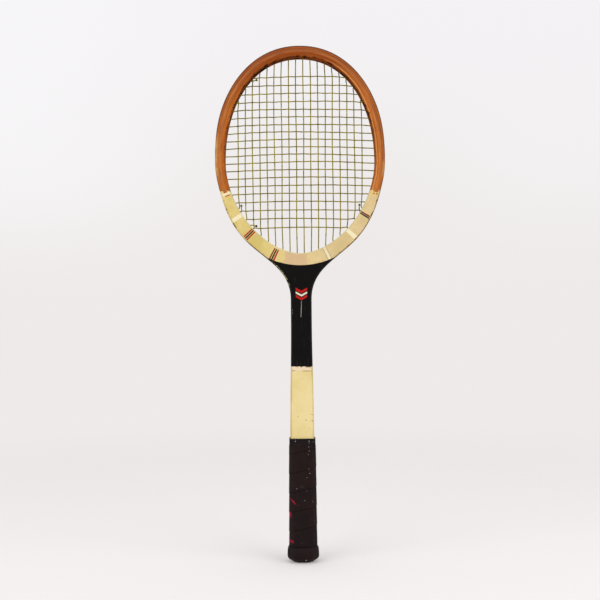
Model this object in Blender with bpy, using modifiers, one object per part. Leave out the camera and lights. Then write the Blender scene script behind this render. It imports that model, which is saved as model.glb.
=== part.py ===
"""Wooden tennis racket: a laminated hoop, throat and shaft, a handle with a wound grip, and a strung head.

Metres, +Z from the butt to the tip of the head. The strings lie in the XZ plane and the front face looks
to -Y. The origin is the middle of the butt's end face. The racket has no moving part.
"""

import math
from collections import namedtuple

import bmesh
import bpy
import numpy as np
from mathutils import Matrix, Vector

MM = 0.001

# Overall size, depth of the flat wood, and the gap that stands for a glue line
LENGTH = 687.5 * MM
WOOD_DEPTH = 18.5 * MM
JOINT = 0.3 * MM

# Opening of the head: two half ovals that meet at its widest level
OPENING_HALF_WIDTH = 99.9 * MM
OPENING_RISE = 140.0 * MM
OPENING_DROP = 121.2 * MM
OPENING_TOP_POWER = 2.14
OPENING_LOW_POWER = 1.8

# Laminations of the hoop, from the strings outwards. The inner one grows thicker above the widest level
INNER_PLY = 4.3 * MM
TIP_GROWTH = 1.7 * MM
TIP_GROWTH_RISE = 70.0 * MM
CORE_PLY = 4.0 * MM
OUTER_PLY = 4.4 * MM
INNER_EDGE = 1.0 * MM
OUTER_EDGE = 2.0 * MM

# Groove for the loops of the strings, which fades out in the throat
GROOVE_FLOOR = 5.0 * MM
GROOVE_FLARE = 0.5 * MM
GROOVE_DEPTH = 2.0 * MM
GROOVE_END_RISE = 34.0 * MM
GROOVE_FADE = 8.0 * MM

# Shoulders, throat and crown
SHOULDER_RISE = 96.5 * MM
SHOULDER_GROWTH = 5.0 * MM
SHOULDER_SLOPE = math.radians(45)
THROAT_LENGTH = 61.5 * MM
THROAT_SHAFT_PULL = 40.0 * MM
THROAT_SHOULDER_PULL = 35.0 * MM
CROWN_THICKNESS = 15.9 * MM
CROWN_RADIUS = 102.5 * MM
CROWN_HALF_SPAN = 36.0 * MM
WEDGE_TIP = 0.6 * MM
WEDGE_TAIL = 7.0 * MM

# Hollow under the crown for the loops of the middle mains
RECESS_WALL = 0.7 * MM
RECESS_HEIGHT = 3.2 * MM

# Facings on both faces of the shoulders, the throat and the shaft
FACING = 0.65 * MM
FACING_TOP_RISE = 83.1 * MM
FACING_STEP = 0.8 * MM
BLACK_LENGTH = 134.5 * MM

# Shaft and handle
SHAFT_HALF_WIDTH = 13.9 * MM
HANDLE_HALF_WIDTH = 15.9 * MM
HANDLE_DEPTH = 27.7 * MM
FLARE_START = 30.0 * MM
FLARE_LENGTH = 150.0 * MM
HANDLE_FLOOR = 10.3 * MM

# Leather strap wound round the handle, and the collar over its top end
GRIP_LOW_Z = 22.4 * MM
GRIP_LENGTH = 133.0 * MM
LEATHER = 1.6 * MM
STRAP_PITCH = 25.6 * MM
STRAP_SEAM = 0.45 * MM
STRAP_TIP = 1.5 * MM
COLLAR_LENGTH = 9.2 * MM
COLLAR_THICKNESS = 1.2 * MM
COLLAR_LAP = 1.5 * MM
PALLET_TOP_STEP = 1.0 * MM

# Butt cap and its tacks
BUTT_HALF_WIDTH = 20.5 * MM
BUTT_HALF_DEPTH = 18.2 * MM
BUTT_LIP_HALF_WIDTH = 18.6 * MM
BUTT_LIP_HALF_DEPTH = 16.2 * MM
BUTT_BEVEL = 8.4 * MM
BUTT_CHAMFER = 8.5 * MM
BUTT_CHAMFER_RISE = 9.5 * MM
BUTT_SHOULDER_Z = 17.5 * MM
TACK_X = 3.5 * MM
TACK_RISE = 4.2 * MM
TACK_HEAD = 1.5 * MM
TACK_DOME = 0.7 * MM
TACK_SHANK = 0.6 * MM
TACK_LENGTH = 3.4 * MM

# Strings
MAIN_COUNT = 18
CROSS_COUNT = 20
STRING = 1.3 * MM
STRING_CLEARANCE = 0.3 * MM
MAIN_EDGE_MARGIN = 17.2 * MM
CROSS_TOP_MARGIN = 24.8 * MM
CROSS_LOW_MARGIN = 34.8 * MM
CROSS_SPREAD = 0.0575
CROSS_LIFT = 2.2 * MM
CROSS_ARCH = 3.0 * MM
LANE = 1.35 * MM
HOLE_ROOM = 0.35 * MM
STRING_ENTRY = 1.6 * MM
WEAVE_MARGIN = 4.0 * MM
TIE_OFF_STEP = 5.5 * MM
KNOT_RADIUS = 1.6 * MM
KNOT_INSET = 3.0 * MM

# Fineness of the curves
HEAD_STEPS = 27
CROWN_STEPS = 8
THROAT_STEPS = 8
FLARE_STEPS = 4
ROUND_SIDES = 10

# Sizes that follow from those above
HALF_DEPTH = WOOD_DEPTH / 2
FACED_HALF_DEPTH = HALF_DEPTH - FACING - JOINT
HOOP_WIDTH = INNER_PLY + CORE_PLY + OUTER_PLY + 2 * JOINT
FILLER_INSET = OUTER_PLY + CORE_PLY + 2 * JOINT
OPENING_TOP_Z = LENGTH - HOOP_WIDTH - TIP_GROWTH
WIDEST_Z = OPENING_TOP_Z - OPENING_RISE
OPENING_LOW_Z = WIDEST_Z - OPENING_DROP
CROWN_LOW_Z = OPENING_LOW_Z - CROWN_THICKNESS
THROAT_LOW_Z = OPENING_LOW_Z - THROAT_LENGTH
GROOVE_END_Z = THROAT_LOW_Z + GROOVE_END_RISE
WEDGE_LOW_Z = THROAT_LOW_Z - WEDGE_TAIL
BLACK_LOW_Z = CROWN_LOW_Z - BLACK_LENGTH
GRIP_TOP_Z = GRIP_LOW_Z + GRIP_LENGTH
COLLAR_LOW_Z = GRIP_TOP_Z + JOINT
COLLAR_TOP_Z = COLLAR_LOW_Z + COLLAR_LENGTH
PALLET_TOP_Z = COLLAR_TOP_Z - COLLAR_LAP
FLARE_TOP_Z = THROAT_LOW_Z - FLARE_START
HANDLE_HALF_DEPTH = HANDLE_DEPTH / 2
HANDLE_BEVEL = HANDLE_HALF_DEPTH - FACED_HALF_DEPTH - JOINT
MAIN_PITCH = 2 * (OPENING_HALF_WIDTH - MAIN_EDGE_MARGIN) / (MAIN_COUNT - 1)
CROSS_TOP_Z = OPENING_TOP_Z - CROSS_TOP_MARGIN
CROSS_LOW_Z = OPENING_LOW_Z + CROSS_LOW_MARGIN
STRING_RADIUS = STRING / 2
WEAVE = STRING + STRING_CLEARANCE
HOLE_HALF_WIDTH = STRING_RADIUS + HOLE_ROOM
LOOP_DEPTH = GROOVE_DEPTH - STRING_CLEARANCE - STRING_RADIUS
SMALL = 1e-6

# A place on the opening's edge, right where side is 1 and left where it is -1, with its outward normal
Mouth = namedtuple("Mouth", "turn side point normal")
# Where a hole's axis meets a path of points: the path, the point, and how far along the path in points
Exit = namedtuple("Exit", "path point at")
# A string's pass over the bed, from one mouth to another
Run = namedtuple("Run", "start bed end")


def clear_scene():
    for obj in list(bpy.data.objects):
        bpy.data.objects.remove(obj, do_unlink=True)


def make_collection(name):
    group = bpy.data.collections.new(name)
    bpy.context.scene.collection.children.link(group)
    return group


def finish(name, colour, roughness, metallic=0.0):
    """A plain material from a colour as it is seen, 0 to 255."""
    material = bpy.data.materials.new(name)
    material.use_nodes = True
    shader = material.node_tree.nodes["Principled BSDF"]
    linear = [((c / 255 + 0.055) / 1.055) ** 2.4 for c in colour]
    shader.inputs["Base Color"].default_value = (*linear, 1)
    shader.inputs["Roughness"].default_value = roughness
    shader.inputs["Metallic"].default_value = metallic
    material.diffuse_color = (*linear, 1)
    return material


def eased(value, start, end):
    """0 before start and 1 after end, with a smooth step between them."""
    share = min(1.0, max(0.0, (value - start) / (end - start)))
    return share * share * (3 - 2 * share)


# The opening's edge


def half_oval(turn):
    """Height and power of the half oval that this turn lies on."""
    if turn <= math.pi / 2:
        return OPENING_RISE, OPENING_TOP_POWER
    return OPENING_DROP, OPENING_LOW_POWER


def opening_point(turn):
    """The opening's edge on the right, by a turn that is 0 at the tip and pi at the throat."""
    height, power = half_oval(turn)
    across, up = abs(math.sin(turn)), math.cos(turn)
    x = OPENING_HALF_WIDTH * across ** (2 / power)
    return np.array([x, WIDEST_Z + math.copysign(height * abs(up) ** (2 / power), up)])


def opening_normal(turn):
    height, power = half_oval(turn)
    x, z = opening_point(turn)
    across = (x / OPENING_HALF_WIDTH) ** (power - 1) / OPENING_HALF_WIDTH
    up = (abs(z - WIDEST_Z) / height) ** (power - 1) / height
    normal = np.array([across, math.copysign(up, z - WIDEST_Z)])
    return normal / np.linalg.norm(normal)


def turn_at_x(x, low):
    power = OPENING_LOW_POWER if low else OPENING_TOP_POWER
    turn = math.asin((abs(x) / OPENING_HALF_WIDTH) ** (power / 2))
    return math.pi - turn if low else turn


def turn_at_z(z):
    low = z < WIDEST_Z
    height, power = half_oval(math.pi if low else 0)
    turn = math.acos((abs(z - WIDEST_Z) / height) ** (power / 2))
    return math.pi - turn if low else turn


def turn_at_slope(slope):
    """The turn in the lower half where the normal points down by this angle."""
    near, far = math.pi / 2, math.pi
    for _ in range(40):
        middle = (near + far) / 2
        across, up = opening_normal(middle)
        if math.atan2(-up, across) < slope:
            near = middle
        else:
            far = middle
    return near


def even_turns(start, end, count, step_at=None):
    """Turns at even distances along the edge, with a close pair where a step is cut in the wood."""
    fine = np.linspace(start, end, 600)
    points = np.array([opening_point(turn) for turn in fine])
    run = np.append(0, np.cumsum(np.hypot(*np.diff(points, axis=0).T)))
    stops = np.linspace(0, run[-1], count + 1)
    if step_at is not None:
        cut = np.interp(step_at, fine, run)
        clear = np.abs(stops - cut) > 3 * FACING_STEP
        stops = np.sort(np.append(stops[clear], [cut, cut + FACING_STEP]))
    return np.interp(stops, run, fine)


def ring(offset, turns):
    """Points at a distance outside the opening's edge, on the right."""
    return np.array([opening_point(turn) + opening_normal(turn) * offset for turn in turns])


def mouth_at(turn, side):
    mirror = np.array([side, 1])
    return Mouth(turn, side, opening_point(turn) * mirror, opening_normal(turn) * mirror)


def beside(mouth, step):
    """The mouth at this distance along the edge, towards the throat where the step is positive."""
    small = 1e-4
    speed = np.linalg.norm(opening_point(mouth.turn - small) - opening_point(mouth.turn)) / small
    return mouth_at(mouth.turn + step / speed, mouth.side)


SHOULDER_TURN = turn_at_slope(SHOULDER_SLOPE)
SHOULDER_Z = opening_point(SHOULDER_TURN)[1]
FACING_TURN = turn_at_z(OPENING_LOW_Z + FACING_TOP_RISE)
HEAD_TURNS = even_turns(0, SHOULDER_TURN, HEAD_STEPS, FACING_TURN)
RING_TURNS = np.append(HEAD_TURNS, even_turns(SHOULDER_TURN, math.pi, CROWN_STEPS)[1:])


# The racket's outline, which the bow follows


def tip_growth(turn):
    """How much wider the hoop is above its widest level."""
    return TIP_GROWTH * eased(opening_point(turn)[1], WIDEST_Z, WIDEST_Z + TIP_GROWTH_RISE)


def shoulder_growth(turn):
    """How much wider than the hoop the shoulders are."""
    depth = OPENING_LOW_Z + SHOULDER_RISE - opening_point(turn)[1]
    return SHOULDER_GROWTH * eased(depth, 0, OPENING_LOW_Z + SHOULDER_RISE - SHOULDER_Z)


def shaft_half_width(z):
    swell = HANDLE_HALF_WIDTH - SHAFT_HALF_WIDTH
    return SHAFT_HALF_WIDTH + swell * eased(FLARE_TOP_Z - z, 0, FLARE_LENGTH)


def throat_curve():
    """From just under the shoulder down to the top of the shaft."""
    normal = opening_normal(SHOULDER_TURN)
    start = opening_point(SHOULDER_TURN) + normal * (HOOP_WIDTH + SHOULDER_GROWTH)
    inwards = np.array([normal[1], -normal[0]])
    foot = np.array([SHAFT_HALF_WIDTH, THROAT_LOW_Z])
    pulled = foot + [0, THROAT_SHAFT_PULL]
    points = []
    for t in np.linspace(0, 1, THROAT_STEPS + 1)[1:]:
        near = (1 - t) ** 3 * start + 3 * t * (1 - t) ** 2 * (start + inwards * THROAT_SHOULDER_PULL)
        points.append(near + 3 * t * t * (1 - t) * pulled + t**3 * foot)
    return points


def outline_half():
    """Right half of the outline, from the bottom of the wood up to the tip."""
    points = [np.array([HANDLE_HALF_WIDTH, HANDLE_FLOOR])]
    for z in np.linspace(FLARE_TOP_Z - FLARE_LENGTH, FLARE_TOP_Z, FLARE_STEPS + 1):
        points.append(np.array([shaft_half_width(z), z]))
    points += reversed(throat_curve())
    for turn in reversed(HEAD_TURNS):
        points.append(ring(HOOP_WIDTH + tip_growth(turn) + shoulder_growth(turn), [turn])[0])
    return np.array(points)


def both_halves(right):
    """A path from the bottom on the right over the tip to the bottom on the left."""
    return np.vstack([right, right[-2::-1] * [-1, 1]])


def path_normals(path):
    along = np.gradient(path, axis=0)
    normals = np.column_stack([along[:, 1], -along[:, 0]])
    normals[0], normals[-1] = (1, 0), (-1, 0)
    return normals / np.linalg.norm(normals, axis=1)[:, None]


OUTLINE = both_halves(outline_half())
OUTLINE_NORMALS = path_normals(OUTLINE)
TIP_STATION = len(OUTLINE) // 2
# The outline's first point above the flare, where the throat starts
FOOT_STATION = FLARE_STEPS + 2
# The steps for the facings start this many stations to either side of the tip
FACING_STATION = int(np.argmin(np.abs(HEAD_TURNS - FACING_TURN)))


def inside_outline(depth):
    return OUTLINE - OUTLINE_NORMALS * depth


def rising_edge(depth):
    """Right half of the outline drawn in by a depth, from the bottom up to the tip."""
    return inside_outline(depth)[: TIP_STATION + 1]


def spreading_edge(depth):
    """The part of that edge that leads outwards, from the foot of the throat to the head's widest level."""
    edge = rising_edge(depth)[FOOT_STATION:]
    return edge[: np.argmax(edge[:, 0]) + 1]


def stretch(path, axis, low, high):
    """The part of a path that rises along an axis between two values of it, cut at both exactly."""
    keep = (path[:, axis] > low + SMALL) & (path[:, axis] < high - SMALL)
    other = 1 - axis
    ends = []
    for value in (low, high):
        end = np.empty(2)
        end[axis], end[other] = value, np.interp(value, path[:, axis], path[:, other])
        ends.append(end)
    return np.vstack([ends[0], path[keep], ends[1]])


def crown_arc(x, drop=0.0):
    """Height of the crown's lower edge, or of a line this far under it."""
    return CROWN_LOW_Z + CROWN_RADIUS - math.sqrt(CROWN_RADIUS**2 - x * x) - drop


def crown_meeting(edge, drop=0.0):
    """The point where a rising edge crosses the line under the crown."""
    for low, high in zip(edge, edge[1:]):
        before, after = low[1] - crown_arc(low[0], drop), high[1] - crown_arc(high[0], drop)
        if after >= 0:
            return low + (high - low) * before / (before - after)
    return edge[-1]


def under_crown(half_span, drop=0.0, count=CROWN_STEPS):
    """Points on the line under the crown, from right to left."""
    return [(x, crown_arc(x, drop)) for x in np.linspace(half_span, -half_span, 2 * count + 1)]


# Where the throat wedge's sides meet the crown, and how far the recess in its top reaches from the middle
WEDGE_CORNER = crown_meeting(spreading_edge(FILLER_INSET), JOINT)
RECESS_HALF_SPAN = crown_meeting(spreading_edge(FILLER_INSET), RECESS_HEIGHT + RECESS_WALL)[0]


def mirrored(right):
    """A closed outline from its right side, listed from its bottom to its top."""
    return [tuple(p) for p in right] + [(-x, z) for x, z in reversed([tuple(p) for p in right])]


# Solids


def add_mesh(name, mesh, material, group):
    data = bpy.data.meshes.new(name)
    mesh.to_mesh(data)
    mesh.free()
    data.materials.append(material)
    obj = bpy.data.objects.new(name, data)
    group.objects.link(obj)
    return obj


def loft(name, rows, material, group, closed=False):
    """One solid through rows of as many points each, closed on itself or capped at both ends."""
    mesh = bmesh.new()
    rows = [[mesh.verts.new(point) for point in row] for row in rows]
    pairs = list(zip(rows, rows[1:]))
    if closed:
        pairs.append((rows[-1], rows[0]))
    else:
        mesh.faces.new(rows[0])
        mesh.faces.new(rows[-1])
    for first, second in pairs:
        for i in range(len(first)):
            j = (i + 1) % len(first)
            mesh.faces.new((first[i], first[j], second[j], second[i]))
    bmesh.ops.recalc_face_normals(mesh, faces=mesh.faces)
    return add_mesh(name, mesh, material, group)


def plate(name, outline, middle_y, thickness, material, group):
    """A flat piece that faces along Y, from its outline in X and Z."""
    curve = bpy.data.curves.new(name, "CURVE")
    curve.dimensions = "2D"
    curve.fill_mode = "BOTH"
    curve.extrude = thickness / 2
    spline = curve.splines.new("POLY")
    spline.points.add(len(outline) - 1)
    for point, (x, z) in zip(spline.points, outline):
        point.co = (x, z, 0, 1)
    spline.use_cyclic_u = True
    curve.materials.append(material)
    obj = bpy.data.objects.new(name, curve)
    obj.rotation_euler.x = math.pi / 2
    obj.location.y = middle_y
    group.objects.link(obj)
    return obj


def as_mesh(obj, group):
    """The same piece made a welded mesh, so that it can be drilled."""
    bpy.context.view_layer.update()
    graph = bpy.context.evaluated_depsgraph_get()
    name, place = obj.name, obj.matrix_world.copy()
    data = bpy.data.meshes.new_from_object(obj.evaluated_get(graph))
    bpy.data.objects.remove(obj, do_unlink=True)
    mesh = bmesh.new()
    mesh.from_mesh(data)
    bmesh.ops.remove_doubles(mesh, verts=mesh.verts, dist=SMALL)
    bmesh.ops.recalc_face_normals(mesh, faces=mesh.faces)
    mesh.to_mesh(data)
    mesh.free()
    solid = bpy.data.objects.new(name, data)
    solid.matrix_world = place
    group.objects.link(solid)
    return solid


def smooth(obj, angle=40):
    obj.data.shade_smooth()
    obj.data.set_sharp_from_angle(angle=math.radians(angle))


def cut(obj, cutter):
    modifier = obj.modifiers.new("cut " + cutter.name, "BOOLEAN")
    modifier.operation = "DIFFERENCE"
    modifier.solver = "EXACT"
    modifier.object = cutter


def as_cutter(obj):
    obj.hide_render = True
    obj.display_type = "WIRE"
    return obj


def placed(corners, point, normal):
    """A section's corners, each a distance outwards and a depth, at a point of a path."""
    return [(point[0] + normal[0] * out, y, point[1] + normal[1] * out) for out, y in corners]


def both_faces(front):
    """A section from the corners of its front half, listed from one side to the other."""
    return front + [(out, -y) for out, y in reversed(front)]


# Laminations of the bow and the hoop


def bow_half_depth(station):
    faced = abs(station - TIP_STATION) > FACING_STATION
    return FACED_HALF_DEPTH if faced else HALF_DEPTH


def outer_section(half_depth, groove):
    floor = GROOVE_FLOOR / 2
    front = [
        (-OUTER_PLY, -half_depth),
        (-OUTER_EDGE, -half_depth),
        (0, -half_depth + OUTER_EDGE),
        (0, -floor - GROOVE_FLARE),
        (-groove, -floor),
    ]
    return both_faces(front)


def make_outer_bow(material, group):
    rows = []
    for station, (point, normal) in enumerate(zip(OUTLINE, OUTLINE_NORMALS)):
        groove = GROOVE_DEPTH * eased(point[1], GROOVE_END_Z - GROOVE_FADE, GROOVE_END_Z)
        rows.append(placed(outer_section(bow_half_depth(station), groove), point, normal))
    return loft("outer_bow", rows, material, group)


def make_core_bow(material, group):
    outside = -OUTER_PLY - JOINT
    rows = []
    for station, (point, normal) in enumerate(zip(OUTLINE, OUTLINE_NORMALS)):
        half_depth = bow_half_depth(station)
        corners = both_faces([(outside - CORE_PLY, -half_depth), (outside, -half_depth)])
        rows.append(placed(corners, point, normal))
    return loft("core_bow", rows, material, group)


def make_inner_hoop(material, group):
    right, left = [], []
    for turn in RING_TURNS:
        half_depth = FACED_HALF_DEPTH if turn > FACING_TURN + SMALL else HALF_DEPTH
        thickness = INNER_PLY + tip_growth(turn)
        front = [(0, -half_depth + INNER_EDGE), (INNER_EDGE, -half_depth), (thickness, -half_depth)]
        for side, rows in ((1, right), (-1, left)):
            mouth = mouth_at(turn, side)
            rows.append(placed(both_faces(front), mouth.point, mouth.normal))
    return loft("inner_hoop", right + left[-2:0:-1], material, group, closed=True)


# Fillers between the legs of the bow


def make_crown_bridge(material, group):
    legs = spreading_edge(FILLER_INSET)
    low = []
    for x, z in under_crown(CROWN_HALF_SPAN):
        low.append((x, max(z, np.interp(abs(x), legs[:, 0], legs[:, 1]))))
    right = stretch(ring(INNER_PLY + JOINT, RING_TURNS[:FACING_STATION:-1]), 0, 0, CROWN_HALF_SPAN)
    high = [(-x, z) for x, z in right[:0:-1]] + [tuple(p) for p in right]
    crown = plate("crown_bridge", low + high, 0, 2 * FACED_HALF_DEPTH, material, group)
    return as_mesh(crown, group)


def make_shoulder_wedge(side, material, group):
    """The slip that fills the shoulder between the core of the bow and the inner hoop."""
    start = CROWN_HALF_SPAN + JOINT
    tip = next(k for k, t in enumerate(HEAD_TURNS) if shoulder_growth(t) > WEDGE_TIP + JOINT)
    inner = ring(INNER_PLY + JOINT, RING_TURNS[tip:][::-1])
    outer = rising_edge(FILLER_INSET)[FOOT_STATION : TIP_STATION + 1 - tip]
    outline = np.vstack([
        stretch(inner, 0, start, inner[-1][0]),
        stretch(outer, 0, start, outer[-1][0])[::-1],
    ])
    name = "shoulder_wedge_right" if side > 0 else "shoulder_wedge_left"
    wedge = plate(name, outline * [side, 1], 0, 2 * FACED_HALF_DEPTH, material, group)
    return as_mesh(wedge, group)


def make_throat_wedge(material, group):
    legs = rising_edge(FILLER_INSET)
    floor = under_crown(RECESS_HALF_SPAN, RECESS_HEIGHT)
    side = stretch(legs, 1, WEDGE_LOW_Z, WEDGE_CORNER[1])
    ear = (RECESS_HALF_SPAN, crown_arc(RECESS_HALF_SPAN, JOINT))
    right = [tuple(p) for p in side] + [ear]
    outline = right + floor + [(-x, z) for x, z in reversed(right)]
    return plate("throat_wedge", outline, 0, 2 * FACED_HALF_DEPTH, material, group)


def make_shaft_core(material, group):
    side = stretch(rising_edge(FILLER_INSET), 1, HANDLE_FLOOR, WEDGE_LOW_Z - JOINT)
    return plate("shaft_core", mirrored(side), 0, 2 * FACED_HALF_DEPTH, material, group)


# Facings


def shoulder_facing_outline():
    edge = rising_edge(OUTER_EDGE)
    top_z = edge[TIP_STATION - FACING_STATION - 1][1] - 2 * JOINT
    outer = stretch(edge, 1, crown_meeting(edge)[1], top_z)
    start = beside(mouth_at(RING_TURNS[FACING_STATION + 1], 1), 2 * JOINT).turn
    inner = ring(INNER_EDGE, [start, *RING_TURNS[FACING_STATION + 2 :]])
    right = [tuple(p) for p in outer] + [tuple(p) for p in inner]
    low = under_crown(outer[0][0])[1:-1]
    return right + [(-x, z) for x, z in right[-2::-1]] + low[::-1]


def throat_facing_outline():
    edge = rising_edge(OUTER_EDGE)
    meeting = crown_meeting(edge, JOINT)
    side = [tuple(p) for p in stretch(edge, 1, BLACK_LOW_Z, meeting[1])]
    return side + under_crown(meeting[0], JOINT)[1:-1] + [(-x, z) for x, z in reversed(side)]


def shaft_facing_outline():
    return mirrored(stretch(rising_edge(OUTER_EDGE), 1, PALLET_TOP_Z + JOINT, BLACK_LOW_Z - JOINT))


def make_facings(cream, black, group):
    middle = HALF_DEPTH - FACING / 2
    shapes = (
        ("shoulder_facing", shoulder_facing_outline(), cream),
        ("throat_facing", throat_facing_outline(), black),
        ("shaft_facing", shaft_facing_outline(), cream),
    )
    for name, outline, material in shapes:
        for end, y in (("front", -middle), ("back", middle)):
            plate(f"{name}_{end}", outline, y, FACING, material, group)


# Handle


def octagon(half_width, half_depth, bevel, grown=0.0):
    """Corners of the handle's section, anticlockwise seen from below, grown outwards on every side."""
    w, d = half_width + grown, half_depth + grown
    b = bevel + grown * (2 - math.sqrt(2))
    right = [(w - b, -d), (w, b - d), (w, d - b), (w - b, d)]
    return right + [(-x, -y) for x, y in right]


def handle_octagon(grown=0.0):
    return octagon(HANDLE_HALF_WIDTH, HANDLE_HALF_DEPTH, HANDLE_BEVEL, grown)


def level(corners, z):
    return [(x, y, z) for x, y in corners]


def make_pallets(material, group):
    """The front and back slips that bring the shaft up to the size of the grip."""
    inside = FACED_HALF_DEPTH + JOINT
    sizes = ((HANDLE_FLOOR, HANDLE_BEVEL), (GRIP_TOP_Z, HANDLE_BEVEL), (PALLET_TOP_Z, PALLET_TOP_STEP))
    for name, side in (("pallet_front", -1), ("pallet_back", 1)):
        rows = []
        for z, height in sizes:
            flat = HANDLE_HALF_WIDTH - height
            top, foot = side * (inside + height), side * inside
            corners = [(-HANDLE_HALF_WIDTH, foot), (HANDLE_HALF_WIDTH, foot), (flat, top), (-flat, top)]
            rows.append(level(corners, z))
        loft(name, rows, material, group)


def strap_places():
    """Corners of the wound strap: for each, the octagon's corner and the heights of both edges."""
    corners = handle_octagon()
    sides = [math.dist(a, b) for a, b in zip(corners, corners[1:] + corners[:1])]
    width = STRAP_PITCH - STRAP_SEAM
    places, corner, wound = [], 0, 0.0
    while True:
        middle = GRIP_LOW_Z - width / 2 + STRAP_PITCH * wound / sum(sides)
        low = max(GRIP_LOW_Z, middle - width / 2)
        high = min(GRIP_TOP_Z, middle + width / 2)
        if low > GRIP_TOP_Z - STRAP_TIP:
            return places
        if high > GRIP_LOW_Z + STRAP_TIP:
            places.append((corner % 8, low, high))
        wound += sides[corner % 8]
        corner += 1


def make_leather_grip(material, group):
    inner, outer = handle_octagon(JOINT), handle_octagon(JOINT + LEATHER)
    rows = []
    for corner, low, high in strap_places():
        (ix, iy), (ox, oy) = inner[corner], outer[corner]
        rows.append([(ix, iy, low), (ox, oy, low), (ox, oy, high), (ix, iy, high)])
    print(f"leather_grip least gap to itself {STRAP_SEAM / MM:.2f} mm")
    return loft("leather_grip", rows, material, group)


def make_grip_collar(material, group):
    """The tapered band over the top end of the leather."""
    top_half_depth = FACED_HALF_DEPTH + JOINT + PALLET_TOP_STEP
    rows = []
    for grown in (JOINT, JOINT + COLLAR_THICKNESS):
        low = level(handle_octagon(grown), COLLAR_LOW_Z)
        high = level(octagon(HANDLE_HALF_WIDTH, top_half_depth, PALLET_TOP_STEP, grown), COLLAR_TOP_Z)
        rows += [low, high] if grown == JOINT else [high, low]
    return loft("grip_collar", rows, material, group, closed=True)


def butt_ring(half_width, half_depth, z, bevel=BUTT_BEVEL):
    return level(octagon(half_width, half_depth, bevel), z)


def make_butt_cap(material, group, cutters):
    foot_bevel = BUTT_BEVEL - BUTT_CHAMFER / 2
    rows = [
        butt_ring(BUTT_HALF_WIDTH - BUTT_CHAMFER, BUTT_HALF_DEPTH - BUTT_CHAMFER, 0, foot_bevel),
        butt_ring(BUTT_HALF_WIDTH, BUTT_HALF_DEPTH, BUTT_CHAMFER_RISE),
        butt_ring(BUTT_HALF_WIDTH, BUTT_HALF_DEPTH, BUTT_SHOULDER_Z),
        butt_ring(BUTT_LIP_HALF_WIDTH, BUTT_LIP_HALF_DEPTH, GRIP_LOW_Z - JOINT),
    ]
    cap = loft("butt_cap", rows, material, group)
    pocket = [level(handle_octagon(JOINT), z) for z in (HANDLE_FLOOR - JOINT, 2 * GRIP_LOW_Z)]
    cut(cap, as_cutter(loft("butt_pocket", pocket, material, cutters)))
    return cap


def tack_frame(side):
    """Places a tack upright on the butt's lower slope, front where side is -1."""
    share = TACK_RISE / BUTT_CHAMFER_RISE
    y = BUTT_HALF_DEPTH - BUTT_CHAMFER * (1 - share)
    outwards = Vector((0, side * BUTT_CHAMFER_RISE, -BUTT_CHAMFER)).normalized()
    turn = Vector((0, 0, 1)).rotation_difference(outwards).to_matrix().to_4x4()
    return Matrix.Translation((TACK_X, side * y, TACK_RISE)) @ turn


def turned(name, profile, material, group, frame):
    """A turned solid from a profile of radius and height that runs down from the axis to the axis."""
    mesh = bmesh.new()
    verts = [mesh.verts.new((r, 0, z)) for r, z in profile]
    for a, b in zip(verts, verts[1:]):
        mesh.edges.new((a, b))
    obj = add_mesh(name, mesh, material, group)
    screw = obj.modifiers.new("turn", "SCREW")
    screw.steps = screw.render_steps = ROUND_SIDES
    screw.use_merge_vertices = True
    screw.merge_threshold = 1e-5
    obj.matrix_world = frame
    return obj


def make_tacks(material, group, cap, cutters):
    head = [(0, JOINT + TACK_DOME), (TACK_HEAD / 2, JOINT + TACK_DOME * 0.8), (TACK_HEAD, JOINT)]
    shank = [(TACK_SHANK, JOINT), (TACK_SHANK, -TACK_LENGTH), (0, -TACK_LENGTH - TACK_SHANK)]
    room = TACK_SHANK + JOINT
    bore = [(0, TACK_LENGTH), (room, TACK_LENGTH), (room, -TACK_LENGTH), (0, -TACK_LENGTH - 2 * room)]
    for name, side in (("butt_tack_front", -1), ("butt_tack_back", 1)):
        frame = tack_frame(side)
        smooth(turned(name, head + shank, material, group, frame))
        cut(cap, as_cutter(turned(name + "_bore", bore, material, cutters, frame)))


# Strings


def main_x(number):
    return (number - (MAIN_COUNT + 1) / 2) * MAIN_PITCH


def cross_z(number, x):
    """Height of a cross: wider steps towards both ends, and every cross bent down at its sides."""
    middle, half = (CROSS_TOP_Z + CROSS_LOW_Z) / 2, (CROSS_TOP_Z - CROSS_LOW_Z) / 2
    share = 1 - 2 * (number - 1) / (CROSS_COUNT - 1)
    spread = share * (1 - CROSS_SPREAD) + CROSS_SPREAD * share**3
    arch = CROSS_ARCH * (x / OPENING_HALF_WIDTH) ** 2
    return middle + half * spread + CROSS_LIFT * (1 - share**2) - arch


def main_mouth(number, low):
    x = main_x(number)
    return mouth_at(turn_at_x(x, low), math.copysign(1, x))


def cross_mouth(number, side):
    x = OPENING_HALF_WIDTH
    for _ in range(30):
        turn = turn_at_z(cross_z(number, x))
        x = opening_point(turn)[0]
    return mouth_at(turn, side)


def woven_mains(number):
    """The mains that a cross passes in the open bed, away from the hoop."""
    reach = cross_mouth(number, 1).point[0] - WEAVE_MARGIN
    return [main for main in range(1, MAIN_COUNT + 1) if abs(main_x(main)) < reach]


def main_bed(number):
    """A main lies straight between the first and the last cross that are woven over it."""
    x = main_x(number)
    crosses = [cross for cross in range(1, CROSS_COUNT + 1) if number in woven_mains(cross)]
    return [(x, 0, cross_z(cross, x)) for cross in (crosses[-1], crosses[0])]


def cross_bed(number):
    """A cross passes over and under the mains by turns, from left to right."""
    bed = []
    for main in woven_mains(number):
        x = main_x(main)
        bed.append((x, WEAVE * (-1) ** (number + main), cross_z(number, x)))
    return bed


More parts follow.
